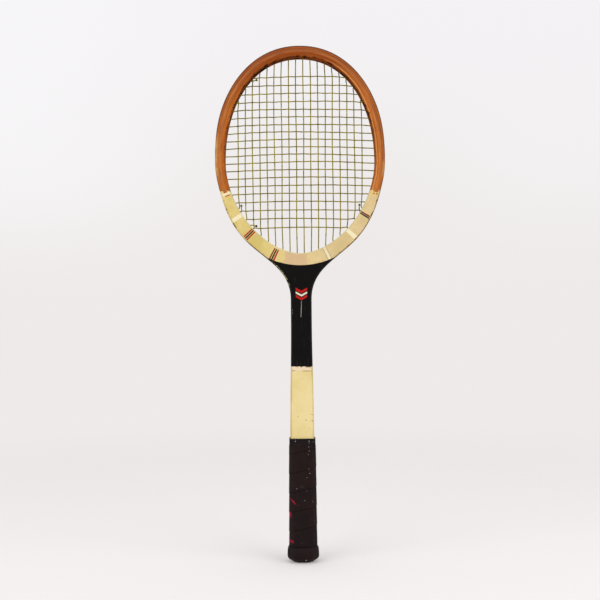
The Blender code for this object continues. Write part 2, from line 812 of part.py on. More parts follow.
def exit_on(path, mouth):
    """Where the hole of this mouth meets a path, or None."""
    found = []
    for index, (a, b) in enumerate(zip(path, path[1:])):
        grid = np.column_stack([mouth.normal, a - b])
        if abs(np.linalg.det(grid)) < SMALL**2:
            continue
        reach, share = np.linalg.solve(grid, a - mouth.point)
        if reach > 0 and 0 <= share <= 1:
            found.append((reach, index + share))
    if not found:
        return None
    reach, at = min(found)
    return Exit(path, mouth.point + mouth.normal * reach, at)


LOOP_PATH = inside_outline(LOOP_DEPTH)
RECESS_PATH = np.array(under_crown(RECESS_HALF_SPAN - STRING, STRING_RADIUS + STRING_CLEARANCE))


def exits_of(first, second):
    """Where two holes that share a loop come out: both in the recess under the crown, or in the groove."""
    recess = exit_on(RECESS_PATH, first), exit_on(RECESS_PATH, second)
    if None not in recess:
        return recess
    return exit_on(LOOP_PATH, first), exit_on(LOOP_PATH, second)


def loop_between(first, second, lane):
    """The string's loop from one exit to the other, along the path that both lie on."""
    low, high = sorted((first.at, second.at))
    inner = [
        first.path[k]
        for k in range(math.ceil(low), math.floor(high) + 1)
        if min(np.linalg.norm(first.path[k] - end.point) for end in (first, second)) > STRING
    ]
    if first.at > second.at:
        inner.reverse()
    return [(x, lane, z) for x, z in [first.point, *inner, second.point]]


def entry(mouth, lane):
    x, z = mouth.point - mouth.normal * STRING_ENTRY
    return (x, lane, z)


def tie_off(mouth, bed_end, step, lane):
    """The string's end beyond its last mouth: out, along the groove, back in beside it, up to its knot."""
    back = beside(mouth, step)
    out, again = exits_of(mouth, back)
    start, arrival = Vector(entry(mouth, lane)), Vector(entry(back, lane))
    along = Vector((bed_end[0] - start.x, 0, bed_end[2] - start.z)).normalized()
    aside = arrival - start - along * along.dot(arrival - start)
    away = STRING_RADIUS + STRING_CLEARANCE + KNOT_RADIUS
    centre = start + along * KNOT_INSET + aside.normalized() * away
    tail = centre + (arrival - centre).normalized() * (KNOT_RADIUS + STRING_CLEARANCE)
    return loop_between(out, again, lane) + [tuple(arrival), tuple(tail)], (back, again), centre


def string_route(runs, steps, lane):
    """Points of a whole string, its holes, and the centres of its two knots."""
    start, first_hole, first_knot = tie_off(runs[0].start, runs[0].bed[0], steps[0], lane)
    end, last_hole, last_knot = tie_off(runs[-1].end, runs[-1].bed[-1], steps[1], lane)
    route, holes = start[::-1], [first_hole, last_hole]
    for run, following in zip(runs, runs[1:] + [None]):
        route += [entry(run.start, lane), *run.bed, entry(run.end, lane)]
        if following:
            out, again = exits_of(run.end, following.start)
            route += loop_between(out, again, lane)
            holes += [(run.end, out), (following.start, again)]
    holes += [(mouth, exit_on(LOOP_PATH, mouth)) for mouth in (runs[0].start, runs[-1].end)]
    return route + end, holes, (first_knot, last_knot)


def main_runs():
    runs = []
    for number in range(1, MAIN_COUNT + 1):
        low, high, bed = main_mouth(number, True), main_mouth(number, False), main_bed(number)
        runs.append(Run(low, bed, high) if number % 2 else Run(high, bed[::-1], low))
    return runs


def cross_runs():
    runs = []
    for number in range(1, CROSS_COUNT + 1):
        left, right, bed = cross_mouth(number, -1), cross_mouth(number, 1), cross_bed(number)
        runs.append(Run(left, bed, right) if number % 2 else Run(right, bed[::-1], left))
    return runs


def least_gap(route):
    """How near a string comes to itself, measured on points along it, and where."""
    points = []
    for a, b in zip(np.array(route), np.array(route[1:])):
        count = max(1, round(np.linalg.norm(b - a) / MM))
        points += [a + (b - a) * k / count for k in range(count)]
    points = np.array(points)
    apart = round(6 * STRING / MM)
    least, place = math.inf, None
    for index in range(0, len(points) - apart):
        gaps = np.linalg.norm(points[index + apart :] - points[index], axis=1)
        if gaps.min() < least:
            least, place = gaps.min(), points[index]
    return least - STRING, place


def make_string(name, route, material, group):
    curve = bpy.data.curves.new(name, "CURVE")
    curve.dimensions = "3D"
    curve.bevel_depth = STRING_RADIUS
    curve.bevel_resolution = 1
    curve.use_fill_caps = True
    spline = curve.splines.new("POLY")
    spline.points.add(len(route) - 1)
    for point, place in zip(spline.points, route):
        point.co = (*place, 1)
    curve.materials.append(material)
    obj = bpy.data.objects.new(name, curve)
    group.objects.link(obj)
    gap, place = least_gap(route)
    print(f"{name} least gap to itself {gap / MM:.2f} mm at {np.round(place / MM)}")
    return obj


def make_knot(name, centre, material, group):
    mesh = bmesh.new()
    bmesh.ops.create_icosphere(mesh, subdivisions=1, radius=KNOT_RADIUS)
    bmesh.ops.translate(mesh, vec=centre, verts=mesh.verts)
    obj = add_mesh(name, mesh, material, group)
    smooth(obj, 180)
    return obj


def make_drill(name, holes, lane, material, cutters):
    """Square drills along the axes of the holes, each from inside the opening to past its exit."""
    mesh = bmesh.new()
    radius = HOLE_HALF_WIDTH * math.sqrt(2)
    for mouth, way_out in holes:
        start = mouth.point - mouth.normal * 2 * INNER_EDGE
        reach = np.linalg.norm(way_out.point - start) + HOLE_HALF_WIDTH + LOOP_DEPTH
        middle = start + mouth.normal * reach / 2
        axis = Vector((mouth.normal[0], 0, mouth.normal[1]))
        turn = Matrix((axis.cross(Vector((0, 1, 0))), Vector((0, 1, 0)), axis)).transposed().to_4x4()
        frame = Matrix.Translation((middle[0], lane, middle[1])) @ turn @ Matrix.Rotation(math.pi / 4, 4, "Z")
        bmesh.ops.create_cone(
            mesh, cap_ends=True, segments=4, radius1=radius, radius2=radius, depth=reach, matrix=frame
        )
    bmesh.ops.recalc_face_normals(mesh, faces=mesh.faces)
    return as_cutter(add_mesh(name, mesh, material, cutters))


def in_recess(hole):
    return hole[1].path is RECESS_PATH


def make_strings(material, knot_material, group, wood, cutters):
    """Both strings with their knots, and their holes in the wood: outer pieces first, then hoop and crown."""
    laid = (
        ("main", main_runs(), (TIE_OFF_STEP, TIE_OFF_STEP), LANE, ("left", "right")),
        ("cross", cross_runs(), (TIE_OFF_STEP, -TIE_OFF_STEP), -LANE, ("top", "low")),
    )
    outer_wood, hoop_and_crown = wood
    for name, runs, steps, lane, ends in laid:
        route, holes, knots = string_route(runs, steps, lane)
        make_string(name + "_string", route, material, group)
        for end, centre in zip(ends, knots):
            make_knot(f"{name}_knot_{end}", centre, knot_material, group)
        to_groove = [hole for hole in holes if not in_recess(hole)]
        drill = make_drill(name + "_holes", to_groove, lane, material, cutters)
        for obj in outer_wood + hoop_and_crown:
            cut(obj, drill)
        to_recess = [hole for hole in holes if in_recess(hole)]
        if to_recess:
            drill = make_drill(name + "_recess_holes", to_recess, lane, material, cutters)
            for obj in hoop_and_crown:
                cut(obj, drill)


def main():
    clear_scene()
    racket, cutters = make_collection("tennis_racket"), make_collection("cutters")
    outer = make_outer_bow(finish("stained ash, outer", (168, 100, 55), 0.35), racket)
    core = make_core_bow(finish("stained ash, core", (185, 111, 53), 0.35), racket)
    hoop = make_inner_hoop(finish("stained ash, inner", (154, 79, 41), 0.35), racket)
    crown = make_crown_bridge(finish("maple crown", (200, 160, 110), 0.45), racket)
    slip = finish("maple slips", (190, 150, 100), 0.5)
    wedges = [make_shoulder_wedge(side, slip, racket) for side in (1, -1)]
    make_throat_wedge(finish("walnut wedge", (92, 58, 38), 0.5), racket)
    make_shaft_core(finish("ash shaft core", (196, 160, 112), 0.5), racket)
    make_facings(
        finish("cream lacquer", (222, 202, 150), 0.3), finish("black lacquer", (28, 26, 24), 0.3), racket
    )
    make_pallets(finish("pallet wood", (180, 140, 95), 0.6), racket)
    make_leather_grip(finish("dark leather", (37, 28, 28), 0.6), racket)
    make_grip_collar(finish("collar band", (32, 27, 27), 0.45), racket)
    cap = make_butt_cap(finish("butt cap leather", (34, 26, 26), 0.55), racket, cutters)
    make_tacks(finish("brass tack", (190, 160, 90), 0.3, 1.0), racket, cap, cutters)
    make_strings(
        finish("gut string", (168, 150, 84), 0.4),
        finish("string knot", (60, 45, 30), 0.5),
        racket,
        ([outer, core, *wedges], [hoop, crown]),
        cutters,
    )


main()
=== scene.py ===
"""Looks of a wooden tennis racket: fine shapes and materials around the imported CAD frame, in a pale studio.

Metres, in the frame's own axes: +Z from the butt to the tip, X across the strings, -Y out of the front face.
"""

import math
from collections import namedtuple

import bmesh
import bpy
import numpy as np
from mathutils import Matrix, Vector


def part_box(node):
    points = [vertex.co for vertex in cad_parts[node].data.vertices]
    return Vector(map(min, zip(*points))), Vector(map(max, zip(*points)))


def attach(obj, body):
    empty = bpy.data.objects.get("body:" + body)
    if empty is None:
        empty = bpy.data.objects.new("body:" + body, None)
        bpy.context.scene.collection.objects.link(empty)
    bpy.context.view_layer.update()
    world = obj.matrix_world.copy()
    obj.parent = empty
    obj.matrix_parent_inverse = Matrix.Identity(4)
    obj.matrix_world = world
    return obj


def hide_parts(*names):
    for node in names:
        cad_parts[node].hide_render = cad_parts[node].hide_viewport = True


MM = 0.001

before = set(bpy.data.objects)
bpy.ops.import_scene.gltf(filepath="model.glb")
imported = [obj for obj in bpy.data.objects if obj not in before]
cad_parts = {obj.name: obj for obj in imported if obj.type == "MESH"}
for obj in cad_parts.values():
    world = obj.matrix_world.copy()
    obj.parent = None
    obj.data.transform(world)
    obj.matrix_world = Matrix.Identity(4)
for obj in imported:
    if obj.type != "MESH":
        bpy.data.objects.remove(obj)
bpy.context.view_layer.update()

# Wood: depth, and the laminations from the strings outwards
HALF_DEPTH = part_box("core_bow")[1][1]
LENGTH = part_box("outer_bow")[1][2]
INNER_PLY = 4.3 * MM
CORE_PLY = 4.0 * MM
OUTER_PLY = 4.4 * MM
GLUE_LINE = 0.3 * MM
GLUE_GROOVE = 0.06 * MM
PLY_EDGE = 0.15 * MM
INNER_ROUND = 1.3 * MM
OUTER_ROUND = 2.4 * MM

# Growth of the inner lamination above the widest level
TIP_GROWTH = 1.7 * MM
TIP_GROWTH_RISE = 70.0 * MM

# Opening of the head: two half ovals that meet at its widest level
OPENING_HALF_WIDTH = 99.9 * MM
OPENING_RISE = 140.0 * MM
OPENING_DROP = 121.2 * MM
OPENING_TOP_POWER = 2.14
OPENING_LOW_POWER = 1.8

# Groove for the loops of the strings
GROOVE_HALF_FLOOR = 2.5 * MM
GROOVE_FLANK = 0.8 * MM
GROOVE_DEPTH = 2.0 * MM
GROOVE_LEAST = 0.02 * MM
GROOVE_END_RISE = 34.0 * MM
GROOVE_FADE = 8.0 * MM

# Shoulders, throat and crown
SHOULDER_RISE = 96.5 * MM
SHOULDER_GROWTH = 5.0 * MM
SHOULDER_SLOPE = math.radians(45)
THROAT_LENGTH = 61.5 * MM
THROAT_SHAFT_PULL = 40.0 * MM
THROAT_SHOULDER_PULL = 35.0 * MM
CROWN_THICKNESS = 15.9 * MM
CROWN_RADIUS = 102.5 * MM
RECESS_HEIGHT = 3.2 * MM
RECESS_WALL = 0.7 * MM

# Facings
FACING_INNER_EDGE = 1.0 * MM
FACING_OUTER_EDGE = 2.0 * MM
FACING_SINK = 0.2 * MM
FACING_RISE = 0.16 * MM
FACING_ROUND = 0.14 * MM
FACING_GAP = 0.12 * MM
FACING_TOP_RISE = 83.1 * MM
BLACK_LENGTH = 134.5 * MM

# Shaft and handle
SHAFT_HALF_WIDTH = 13.9 * MM
HANDLE_HALF_WIDTH = 15.9 * MM
HANDLE_HALF_DEPTH = 13.85 * MM
HANDLE_BEVEL = 5.25 * MM
HANDLE_FLOOR = 10.3 * MM
FLARE_START = 30.0 * MM
FLARE_LENGTH = 150.0 * MM

# Sizes that follow from those above
HOOP_WIDTH = INNER_PLY + CORE_PLY + OUTER_PLY + 2 * GLUE_LINE
FILLER_INSET = OUTER_PLY + CORE_PLY + 2 * GLUE_LINE
OPENING_TOP_Z = LENGTH - HOOP_WIDTH - TIP_GROWTH
WIDEST_Z = OPENING_TOP_Z - OPENING_RISE
OPENING_LOW_Z = WIDEST_Z - OPENING_DROP
CROWN_LOW_Z = OPENING_LOW_Z - CROWN_THICKNESS
CROWN_CENTRE_Z = CROWN_LOW_Z + CROWN_RADIUS
THROAT_LOW_Z = OPENING_LOW_Z - THROAT_LENGTH
GROOVE_END_Z = THROAT_LOW_Z + GROOVE_END_RISE
BLACK_LOW_Z = CROWN_LOW_Z - BLACK_LENGTH
FACING_TOP_Z = OPENING_LOW_Z + FACING_TOP_RISE
FLARE_TOP_Z = THROAT_LOW_Z - FLARE_START

# Fineness: steps along parts of the outline, half the crown's arc and half a shoulder facing
HEAD_STEPS = 110
THROAT_STEPS = 30
FLARE_STEPS = 16
LOW_STEPS = 36
ARC_STEPS = 24
FACING_STEPS = 150

# Least turn between two lines that cross, and the slack at the ends of a line
NEARLY_PARALLEL = 1e-12
END_SLACK = 1e-9

Mouth = namedtuple("Mouth", "turn side point normal")
Exit = namedtuple("Exit", "path point at")
Run = namedtuple("Run", "start bed end")


def eased(value, start, end):
    """0 before start and 1 after end, with a smooth step between them."""
    share = min(1.0, max(0.0, (value - start) / (end - start)))
    return share * share * (3 - 2 * share)


# Outlines, by the same formulas as the CAD frame


def half_oval(turn):
    if turn <= math.pi / 2:
        return OPENING_RISE, OPENING_TOP_POWER
    return OPENING_DROP, OPENING_LOW_POWER


def opening_point(turn):
    """The opening's edge on the right, by a turn that is 0 at the tip and pi at the throat."""
    height, power = half_oval(turn)
    across, up = abs(math.sin(turn)), math.cos(turn)
    x = OPENING_HALF_WIDTH * across ** (2 / power)
    return np.array([x, WIDEST_Z + math.copysign(height * abs(up) ** (2 / power), up)])


def opening_normal(turn):
    height, power = half_oval(turn)
    x, z = opening_point(turn)
    across = (x / OPENING_HALF_WIDTH) ** (power - 1) / OPENING_HALF_WIDTH
    up = (abs(z - WIDEST_Z) / height) ** (power - 1) / height
    normal = np.array([across, math.copysign(up, z - WIDEST_Z)])
    return normal / np.linalg.norm(normal)


def turn_at_x(x, low):
    power = OPENING_LOW_POWER if low else OPENING_TOP_POWER
    turn = math.asin((abs(x) / OPENING_HALF_WIDTH) ** (power / 2))
    return math.pi - turn if low else turn


def turn_at_z(z):
    low = z < WIDEST_Z
    height, power = half_oval(math.pi if low else 0)
    turn = math.acos((abs(z - WIDEST_Z) / height) ** (power / 2))
    return math.pi - turn if low else turn


def turn_at_slope(slope):
    """The turn in the lower half where the normal points down by this angle."""
    near, far = math.pi / 2, math.pi
    for _ in range(40):
        middle = (near + far) / 2
        across, up = opening_normal(middle)
        if math.atan2(-up, across) < slope:
            near = middle
        else:
            far = middle
    return near


def run_of(points):
    """Distance along a path at each of its points."""
    return np.append(0, np.cumsum(np.linalg.norm(np.diff(points, axis=0), axis=1)))


def even_turns(start, end, count):
    """Turns at even distances along the edge."""
    fine = np.linspace(start, end, 1500)
    run = run_of(np.array([opening_point(turn) for turn in fine]))
    return np.interp(np.linspace(0, run[-1], count + 1), run, fine)


def ring(offset, turns):
    return np.array([opening_point(turn) + opening_normal(turn) * offset for turn in turns])


def mouth_at(turn, side):
    mirror = np.array([side, 1])
    return Mouth(turn, side, opening_point(turn) * mirror, opening_normal(turn) * mirror)


def crossing(mouth, a, b):
    """Distance and share of the way where the mouth's normal crosses the line through a and b, or None."""
    grid = np.column_stack([mouth.normal, a - b])
    if abs(np.linalg.det(grid)) < NEARLY_PARALLEL:
        return None
    return np.linalg.solve(grid, a - mouth.point)


def beside(mouth, step):
    """The mouth at this distance along the edge, towards the throat where the step is positive."""
    small = 1e-4
    speed = np.linalg.norm(opening_point(mouth.turn - small) - opening_point(mouth.turn)) / small
    return mouth_at(mouth.turn + step / speed, mouth.side)


SHOULDER_TURN = turn_at_slope(SHOULDER_SLOPE)
SHOULDER_Z = opening_point(SHOULDER_TURN)[1]
FACING_TURN = turn_at_z(FACING_TOP_Z)
HEAD_TURNS = even_turns(0, SHOULDER_TURN, HEAD_STEPS)
RING_TURNS = np.append(HEAD_TURNS, even_turns(SHOULDER_TURN, math.pi, LOW_STEPS)[1:])


def tip_growth(turn):
    return TIP_GROWTH * eased(opening_point(turn)[1], WIDEST_Z, WIDEST_Z + TIP_GROWTH_RISE)


def shoulder_growth(turn):
    depth = OPENING_LOW_Z + SHOULDER_RISE - opening_point(turn)[1]
    return SHOULDER_GROWTH * eased(depth, 0, OPENING_LOW_Z + SHOULDER_RISE - SHOULDER_Z)


def shaft_half_width(z):
    swell = HANDLE_HALF_WIDTH - SHAFT_HALF_WIDTH
    return SHAFT_HALF_WIDTH + swell * eased(FLARE_TOP_Z - z, 0, FLARE_LENGTH)


def throat_curve():
    """From just under the shoulder down to the top of the shaft."""
    normal = opening_normal(SHOULDER_TURN)
    start = opening_point(SHOULDER_TURN) + normal * (HOOP_WIDTH + SHOULDER_GROWTH)
    inwards = np.array([normal[1], -normal[0]])
    foot = np.array([SHAFT_HALF_WIDTH, THROAT_LOW_Z])
    pulled = foot + [0, THROAT_SHAFT_PULL]
    points = []
    for t in np.linspace(0, 1, THROAT_STEPS + 1)[1:]:
        near = (1 - t) ** 3 * start + 3 * t * (1 - t) ** 2 * (start + inwards * THROAT_SHOULDER_PULL)
        points.append(near + 3 * t * t * (1 - t) * pulled + t**3 * foot)
    return points


def outline_half():
    """Right half of the outline, from the bottom of the wood up to the tip."""
    points = [np.array([HANDLE_HALF_WIDTH, HANDLE_FLOOR])]
    for z in np.linspace(FLARE_TOP_Z - FLARE_LENGTH, FLARE_TOP_Z, FLARE_STEPS + 1):
        points.append(np.array([shaft_half_width(z), z]))
    points += reversed(throat_curve())
    for turn in reversed(HEAD_TURNS):
        points.append(ring(HOOP_WIDTH + tip_growth(turn) + shoulder_growth(turn), [turn])[0])
    return np.array(points)


def unit_rows(vectors):
    return vectors / np.linalg.norm(vectors, axis=1)[:, None]


def right_hand(along):
    """Unit vectors a quarter turn to the right of directions in a plane."""
    return unit_rows(np.column_stack([along[:, 1], -along[:, 0]]))


def path_normals(path):
    normals = right_hand(np.gradient(path, axis=0))
    normals[0], normals[-1] = (1, 0), (-1, 0)
    return normals


RIGHT_OUTLINE = outline_half()
OUTLINE = np.vstack([RIGHT_OUTLINE, RIGHT_OUTLINE[-2::-1] * [-1, 1]])
OUTLINE_NORMALS = path_normals(OUTLINE)
FOOT_STATION = FLARE_STEPS + 2


def inside_outline(depth):
    return OUTLINE - OUTLINE_NORMALS * depth


def rising_edge(depth):
    """Right half of the outline drawn in by a depth, from the bottom up to the tip."""
    return inside_outline(depth)[: len(RIGHT_OUTLINE)]


def crown_arc(x, drop=0.0):
    return CROWN_CENTRE_Z - drop - math.sqrt(CROWN_RADIUS**2 - x * x)


def crown_meeting(edge, drop=0.0):
    """The point where a rising edge crosses the line under the crown."""
    for low, high in zip(edge, edge[1:]):
        before, after = low[1] - crown_arc(low[0], drop), high[1] - crown_arc(high[0], drop)
        if after >= 0:
            return low + (high - low) * before / (before - after)
    return edge[-1]


def under_crown(half_span, drop=0.0):
    return [(x, crown_arc(x, drop)) for x in np.linspace(half_span, -half_span, 2 * ARC_STEPS + 1)]


# Meshes


def add_object(name, data):
    obj = bpy.data.objects.new(name, data)
    bpy.context.scene.collection.objects.link(obj)
    return obj


def add_mesh(name, mesh, material, sharp=35):
    """A smooth-shaded object from a bmesh, with edges over the sharp angle kept crisp."""
    data = bpy.data.meshes.new(name)
    mesh.to_mesh(data)
    mesh.free()
    data.materials.append(material)
    data.shade_smooth()
    data.set_sharp_from_angle(angle=math.radians(sharp))
    return add_object(name, data)


def loft(name, rows, grain, material, closed=False, sharp=35):
    """A solid through closed rows of points, each with a UV pair in metres from the row's grain."""
    mesh = bmesh.new()
    uv = mesh.loops.layers.uv.new("grain")
    verts = [[mesh.verts.new(point) for point in row] for row in rows]
    count = len(verts[0])
    spans = list(range(len(verts) - 1))
    for i in spans + ([len(verts) - 1] if closed else []):
        following = (i + 1) % len(verts)
        ahead = grain[following] if following else [(u + grain[-1][0][0], v) for u, v in grain[0]]
        for j in range(count):
            k = (j + 1) % count
            face = mesh.faces.new((verts[i][j], verts[i][k], verts[following][k], verts[following][j]))
            for corner, place in zip(face.loops, (grain[i][j], grain[i][k], ahead[k], ahead[j])):
                corner[uv].uv = place
    if not closed:
        for row, places in ((verts[0], grain[0]), (verts[-1], grain[-1])):
            face = mesh.faces.new(row)
            for corner, place in zip(face.loops, places):
                corner[uv].uv = place
    bmesh.ops.recalc_face_normals(mesh, faces=mesh.faces)
    return add_mesh(name, mesh, material, sharp)


def plate(name, outline, near_y, far_y, material, edge=FACING_ROUND):
    """A flat piece that faces along Y, with rounded edges. Its grain runs along Z."""
    mesh = bmesh.new()
    uv = mesh.loops.layers.uv.new("grain")
    verts = [mesh.verts.new((x, near_y, z)) for x, z in outline]
    face = mesh.faces.new(verts)
    made = bmesh.ops.extrude_face_region(mesh, geom=[face])["geom"]
    for vert in made:
        if isinstance(vert, bmesh.types.BMVert):
            vert.co.y = far_y
    bmesh.ops.recalc_face_normals(mesh, faces=mesh.faces)
    for face in mesh.faces:
        for corner in face.loops:
            corner[uv].uv = (corner.vert.co.z, corner.vert.co.x)
    obj = add_mesh(name, mesh, material)
    rounding = obj.modifiers.new("rounded edge", "BEVEL")
    rounding.width = edge
    rounding.segments = 2
    rounding.limit_method = "ANGLE"
    rounding.angle_limit = math.radians(50)
    return obj


def bend(start, corner, end, steps):
    """Points on a curve from start to end, which the corner pulls towards itself."""
    shares = np.linspace(0, 1, steps + 1)
    return [(1 - t) ** 2 * start + 2 * t * (1 - t) * corner + t * t * end for t in shares]


def rounded(corners, radius, steps=4):
    """A closed polygon of points in a plane with each corner turned into an arc."""
    points = []
    count = len(corners)
    for i in range(count):
        before, corner, after = (np.array(corners[k % count], float) for k in (i - 1, i, i + 1))
        one, two = before - corner, after - corner
        reach = min(np.linalg.norm(one), np.linalg.norm(two)) / 2
        one, two = one / np.linalg.norm(one), two / np.linalg.norm(two)
        half = math.acos(max(-1, min(1, one @ two))) / 2
        cut = min(radius / math.tan(half), reach * 0.98)
        points += bend(corner + one * cut, corner, corner + two * cut, steps)
    return np.array(points)


def eased_path(points, radius, steps=4):
    """An open path in space with its corners rounded."""
    points = np.array(points, float)
    path = [points[0]]
    for before, corner, after in zip(points, points[1:], points[2:]):
        one, two = before - corner, after - corner
        cut = min(radius, np.linalg.norm(one) * 0.45, np.linalg.norm(two) * 0.45)
        start = corner + one / np.linalg.norm(one) * cut
        end = corner + two / np.linalg.norm(two) * cut
        path += bend(start, corner, end, steps)
    path.append(points[-1])
    path = np.array(path)
    keep = np.append(True, np.linalg.norm(np.diff(path, axis=0), axis=1) > 0.02 * MM)
    return path[keep]


def tube(name, path, radius, material, sides=8, closed=False):
    """A round tube along a path, without twist. Its grain is the distance along and the distance round."""
    run = run_of(path)
    along = unit_rows(np.gradient(path, axis=0))
    side = np.cross(along[0], (0, 1, 0.1))
    rows, grain = [], []
    for place, ahead, distance in zip(path, along, run):
        side = side - ahead * (side @ ahead)
        side /= np.linalg.norm(side)
        up = np.cross(ahead, side)
        angles = [2 * math.pi * k / sides for k in range(sides)]
        rows.append([place + radius * (math.cos(a) * side + math.sin(a) * up) for a in angles])
        grain.append([(distance, radius * a) for a in angles])
    return loft(name, rows, grain, material, closed, sharp=60)


def show_for(obj, *nodes):
    """A piece that rides on the frame and stands for the CAD nodes named."""
    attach(obj, "root")
    if nodes:
        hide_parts(*nodes)
    return obj


# Materials


def tint(red, green, blue):
    """A colour as it is seen, 0 to 255, for a socket."""
    return (*[((c / 255 + 0.055) / 1.055) ** 2.4 for c in (red, green, blue)], 1)


class Nodes:
    """A tree of shader nodes and short ways to add to it."""

    def __init__(self, tree):
        self.tree = tree

    def put(self, socket, value):
        """Sets a socket, or links it where the value is another node's output."""
        if isinstance(value, bpy.types.NodeSocket):
            self.tree.links.new(value, socket)
        else:
            socket.default_value = value

    def node(self, kind, values, **settings):
        node = self.tree.nodes.new("ShaderNode" + kind)
        for key, value in settings.items():
            setattr(node, key, value)
        for key, value in values.items():
            self.put(node.inputs[key], value)
        return node

    def place(self):
        return self.node("TexCoord", {}).outputs["Object"]

    def grain(self):
        return self.node("UVMap", {}, uv_map="grain").outputs["UV"]

    def parts(self, vector):
        return self.node("SeparateXYZ", {0: vector}).outputs

    def vector(self, x, y, z):
        return self.node("CombineXYZ", {0: x, 1: y, 2: z}).outputs[0]

    def scaled(self, vector, x, y, z):
        return self.node("VectorMath", {0: vector, 1: (x, y, z)}, operation="MULTIPLY").outputs[0]

    def math(self, operation, first, second=0.0):
        return self.node("Math", {0: first, 1: second}, operation=operation).outputs[0]

    def noise(self, vector, detail=3.0, roughness=0.55):
        """A noise of features one unit wide."""
        values = {"Vector": vector, "Scale": 1.0, "Detail": detail, "Roughness": roughness}
        return self.node("TexNoise", values).outputs[0]

    def cloud(self, x, y=None, z=None, detail=3.0, roughness=0.55):
        """A noise by place, with about this many features to a metre along each axis."""
        return self.noise(self.scaled(self.place(), x, y or x, z or x), detail, roughness)

    def less(self, first, second):
        return self.math("SUBTRACT", first, second)

    def length(self, across, up):
        """How long an arrow is, from its two parts."""
        return self.math("SQRT", self.math("ADD", self.both(across, across), self.both(up, up)))

    def step(self, value, low, high):
        """0 below low and 1 above high, or the other way round where low is over high."""
        values = {"Value": value, "From Min": low, "From Max": high, "To Min": 0.0, "To Max": 1.0}
        return self.node("MapRange", values, interpolation_type="SMOOTHSTEP").outputs[0]

    def under(self, value, limit, soft):
        """1 where the value is under the limit, with a soft edge."""
        return self.step(value, limit + soft, limit - soft)

    def band(self, value, middle, half_width, soft):
        """1 within the half width of the middle."""
        return self.under(self.math("ABSOLUTE", self.less(value, middle)), half_width, soft)

    def ragged(self, value, noise, reach):
        """A value pushed up and down by a noise, so that steps and bands on it get uneven edges."""
        return self.math("ADD", value, self.math("MULTIPLY", self.less(noise, 0.5), reach))

    def both(self, *factors):
        result = factors[0]
        for factor in factors[1:]:
            result = self.math("MULTIPLY", result, factor)
        return result

    def share(self, factor, most):
        """A factor from 0 to 1, turned down to a most."""
        return self.math("MULTIPLY", factor, most)

    def mix(self, factor, first, second):
        node = self.tree.nodes.new("ShaderNodeMix")
        node.data_type = "RGBA"
        colours = [socket for socket in node.inputs if socket.type == "RGBA"]
        self.put(node.inputs[0], factor)
        self.put(colours[0], first)
        self.put(colours[1], second)
        return [socket for socket in node.outputs if socket.type == "RGBA"][0]

    def cover(self, colour, ink, factor, most):
        """A colour with ink over it, by a factor that is turned down to a most."""
        return self.mix(self.share(factor, most), colour, ink)

    def between(self, factor, first, second):
        """A number that goes from first to second with the factor."""
        values = {"Value": factor, "From Min": 0.0, "From Max": 1.0, "To Min": first, "To Max": second}
        return self.node("MapRange", values).outputs[0]

    def bump(self, height, distance):
        return self.node("Bump", {"Height": height, "Distance": distance, "Strength": 1.0}).outputs[0]

    def seen(self):
        """1 for what the camera sees, also in a gloss or through glass, and 0 for the light on things."""
        rays = self.node("LightPath", {}).outputs
        direct = self.math("MAXIMUM", rays["Is Camera Ray"], rays["Is Glossy Ray"])
        return self.math("MAXIMUM", direct, rays["Is Transmission Ray"])

    def surface(self, factor, first, second):
        """Gives the tree's output a blend of two shaders."""
        blend = self.node("MixShader", {0: factor, 1: first, 2: second})
        output = [node for node in self.tree.nodes if node.type.startswith("OUTPUT")][0]
        self.put(output.inputs["Surface"], blend.outputs[0])


class Look(Nodes):
    """A procedural material, put together from its nodes."""

    def __init__(self, name, roughness, gloss=0.3):
        self.material = bpy.data.materials.new(name)
        self.material.use_nodes = True
        super().__init__(self.material.node_tree)
        self.shader = self.tree.nodes["Principled BSDF"]
        self.shader.inputs["Roughness"].default_value = roughness
        self.shader.inputs["Specular IOR Level"].default_value = gloss

    def finish(self, colour, roughness, normal):
        self.put(self.shader.inputs["Base Color"], colour)
        self.put(self.shader.inputs["Roughness"], roughness)
        self.put(self.shader.inputs["Normal"], normal)
        return self.material


RED_INK = tint(172, 26, 18)
DEEP_RED_INK = tint(120, 10, 14)
BROWN_INK = tint(134, 50, 22)
BLACK_INK = tint(24, 8, 6)
WHITE_INK = tint(246, 234, 194)
BARE_WOOD = tint(216, 182, 140)
WORN_EDGE = tint(98, 68, 44)
GREEN_STAIN = tint(196, 188, 100)
PORE = tint(88, 40, 16)
DEEP_STAIN = tint(126, 60, 24)
PALE_WOOD = tint(224, 134, 60)


def wood_colour(look, base, dark, light):
    """Long grain along the strip: soft figure, uneven stain, fine streaks and short dark pores."""
    u, v, _ = look.parts(look.grain())
    y = look.parts(look.place())[1]
    run = look.vector(u, v, y)
    figure = look.noise(look.scaled(run, 9, 240, 160))
    streaks = look.noise(look.scaled(run, 26, 2300, 1500), detail=4)
    pores = look.noise(look.scaled(run, 260, 7000, 5200), detail=1)
    broad = look.cloud(16, detail=2)
    stain = look.noise(look.scaled(run, 42, 430, 300))
    colour = look.mix(look.step(figure, 0.38, 0.66), dark, light)
    colour = look.mix(look.between(look.step(broad, 0.35, 0.65), 0.25, 0.65), colour, base)
    colour = look.cover(colour, DEEP_STAIN, look.step(stain, 0.52, 0.68), 0.55)
    colour = look.cover(colour, PALE_WOOD, look.step(stain, 0.48, 0.32), 0.5)
    colour = look.cover(colour, dark, look.step(streaks, 0.44, 0.62), 0.4)
    pore = look.step(pores, 0.60, 0.70)
    return look.mix(look.share(pore, 0.35), colour, PORE), streaks, pore


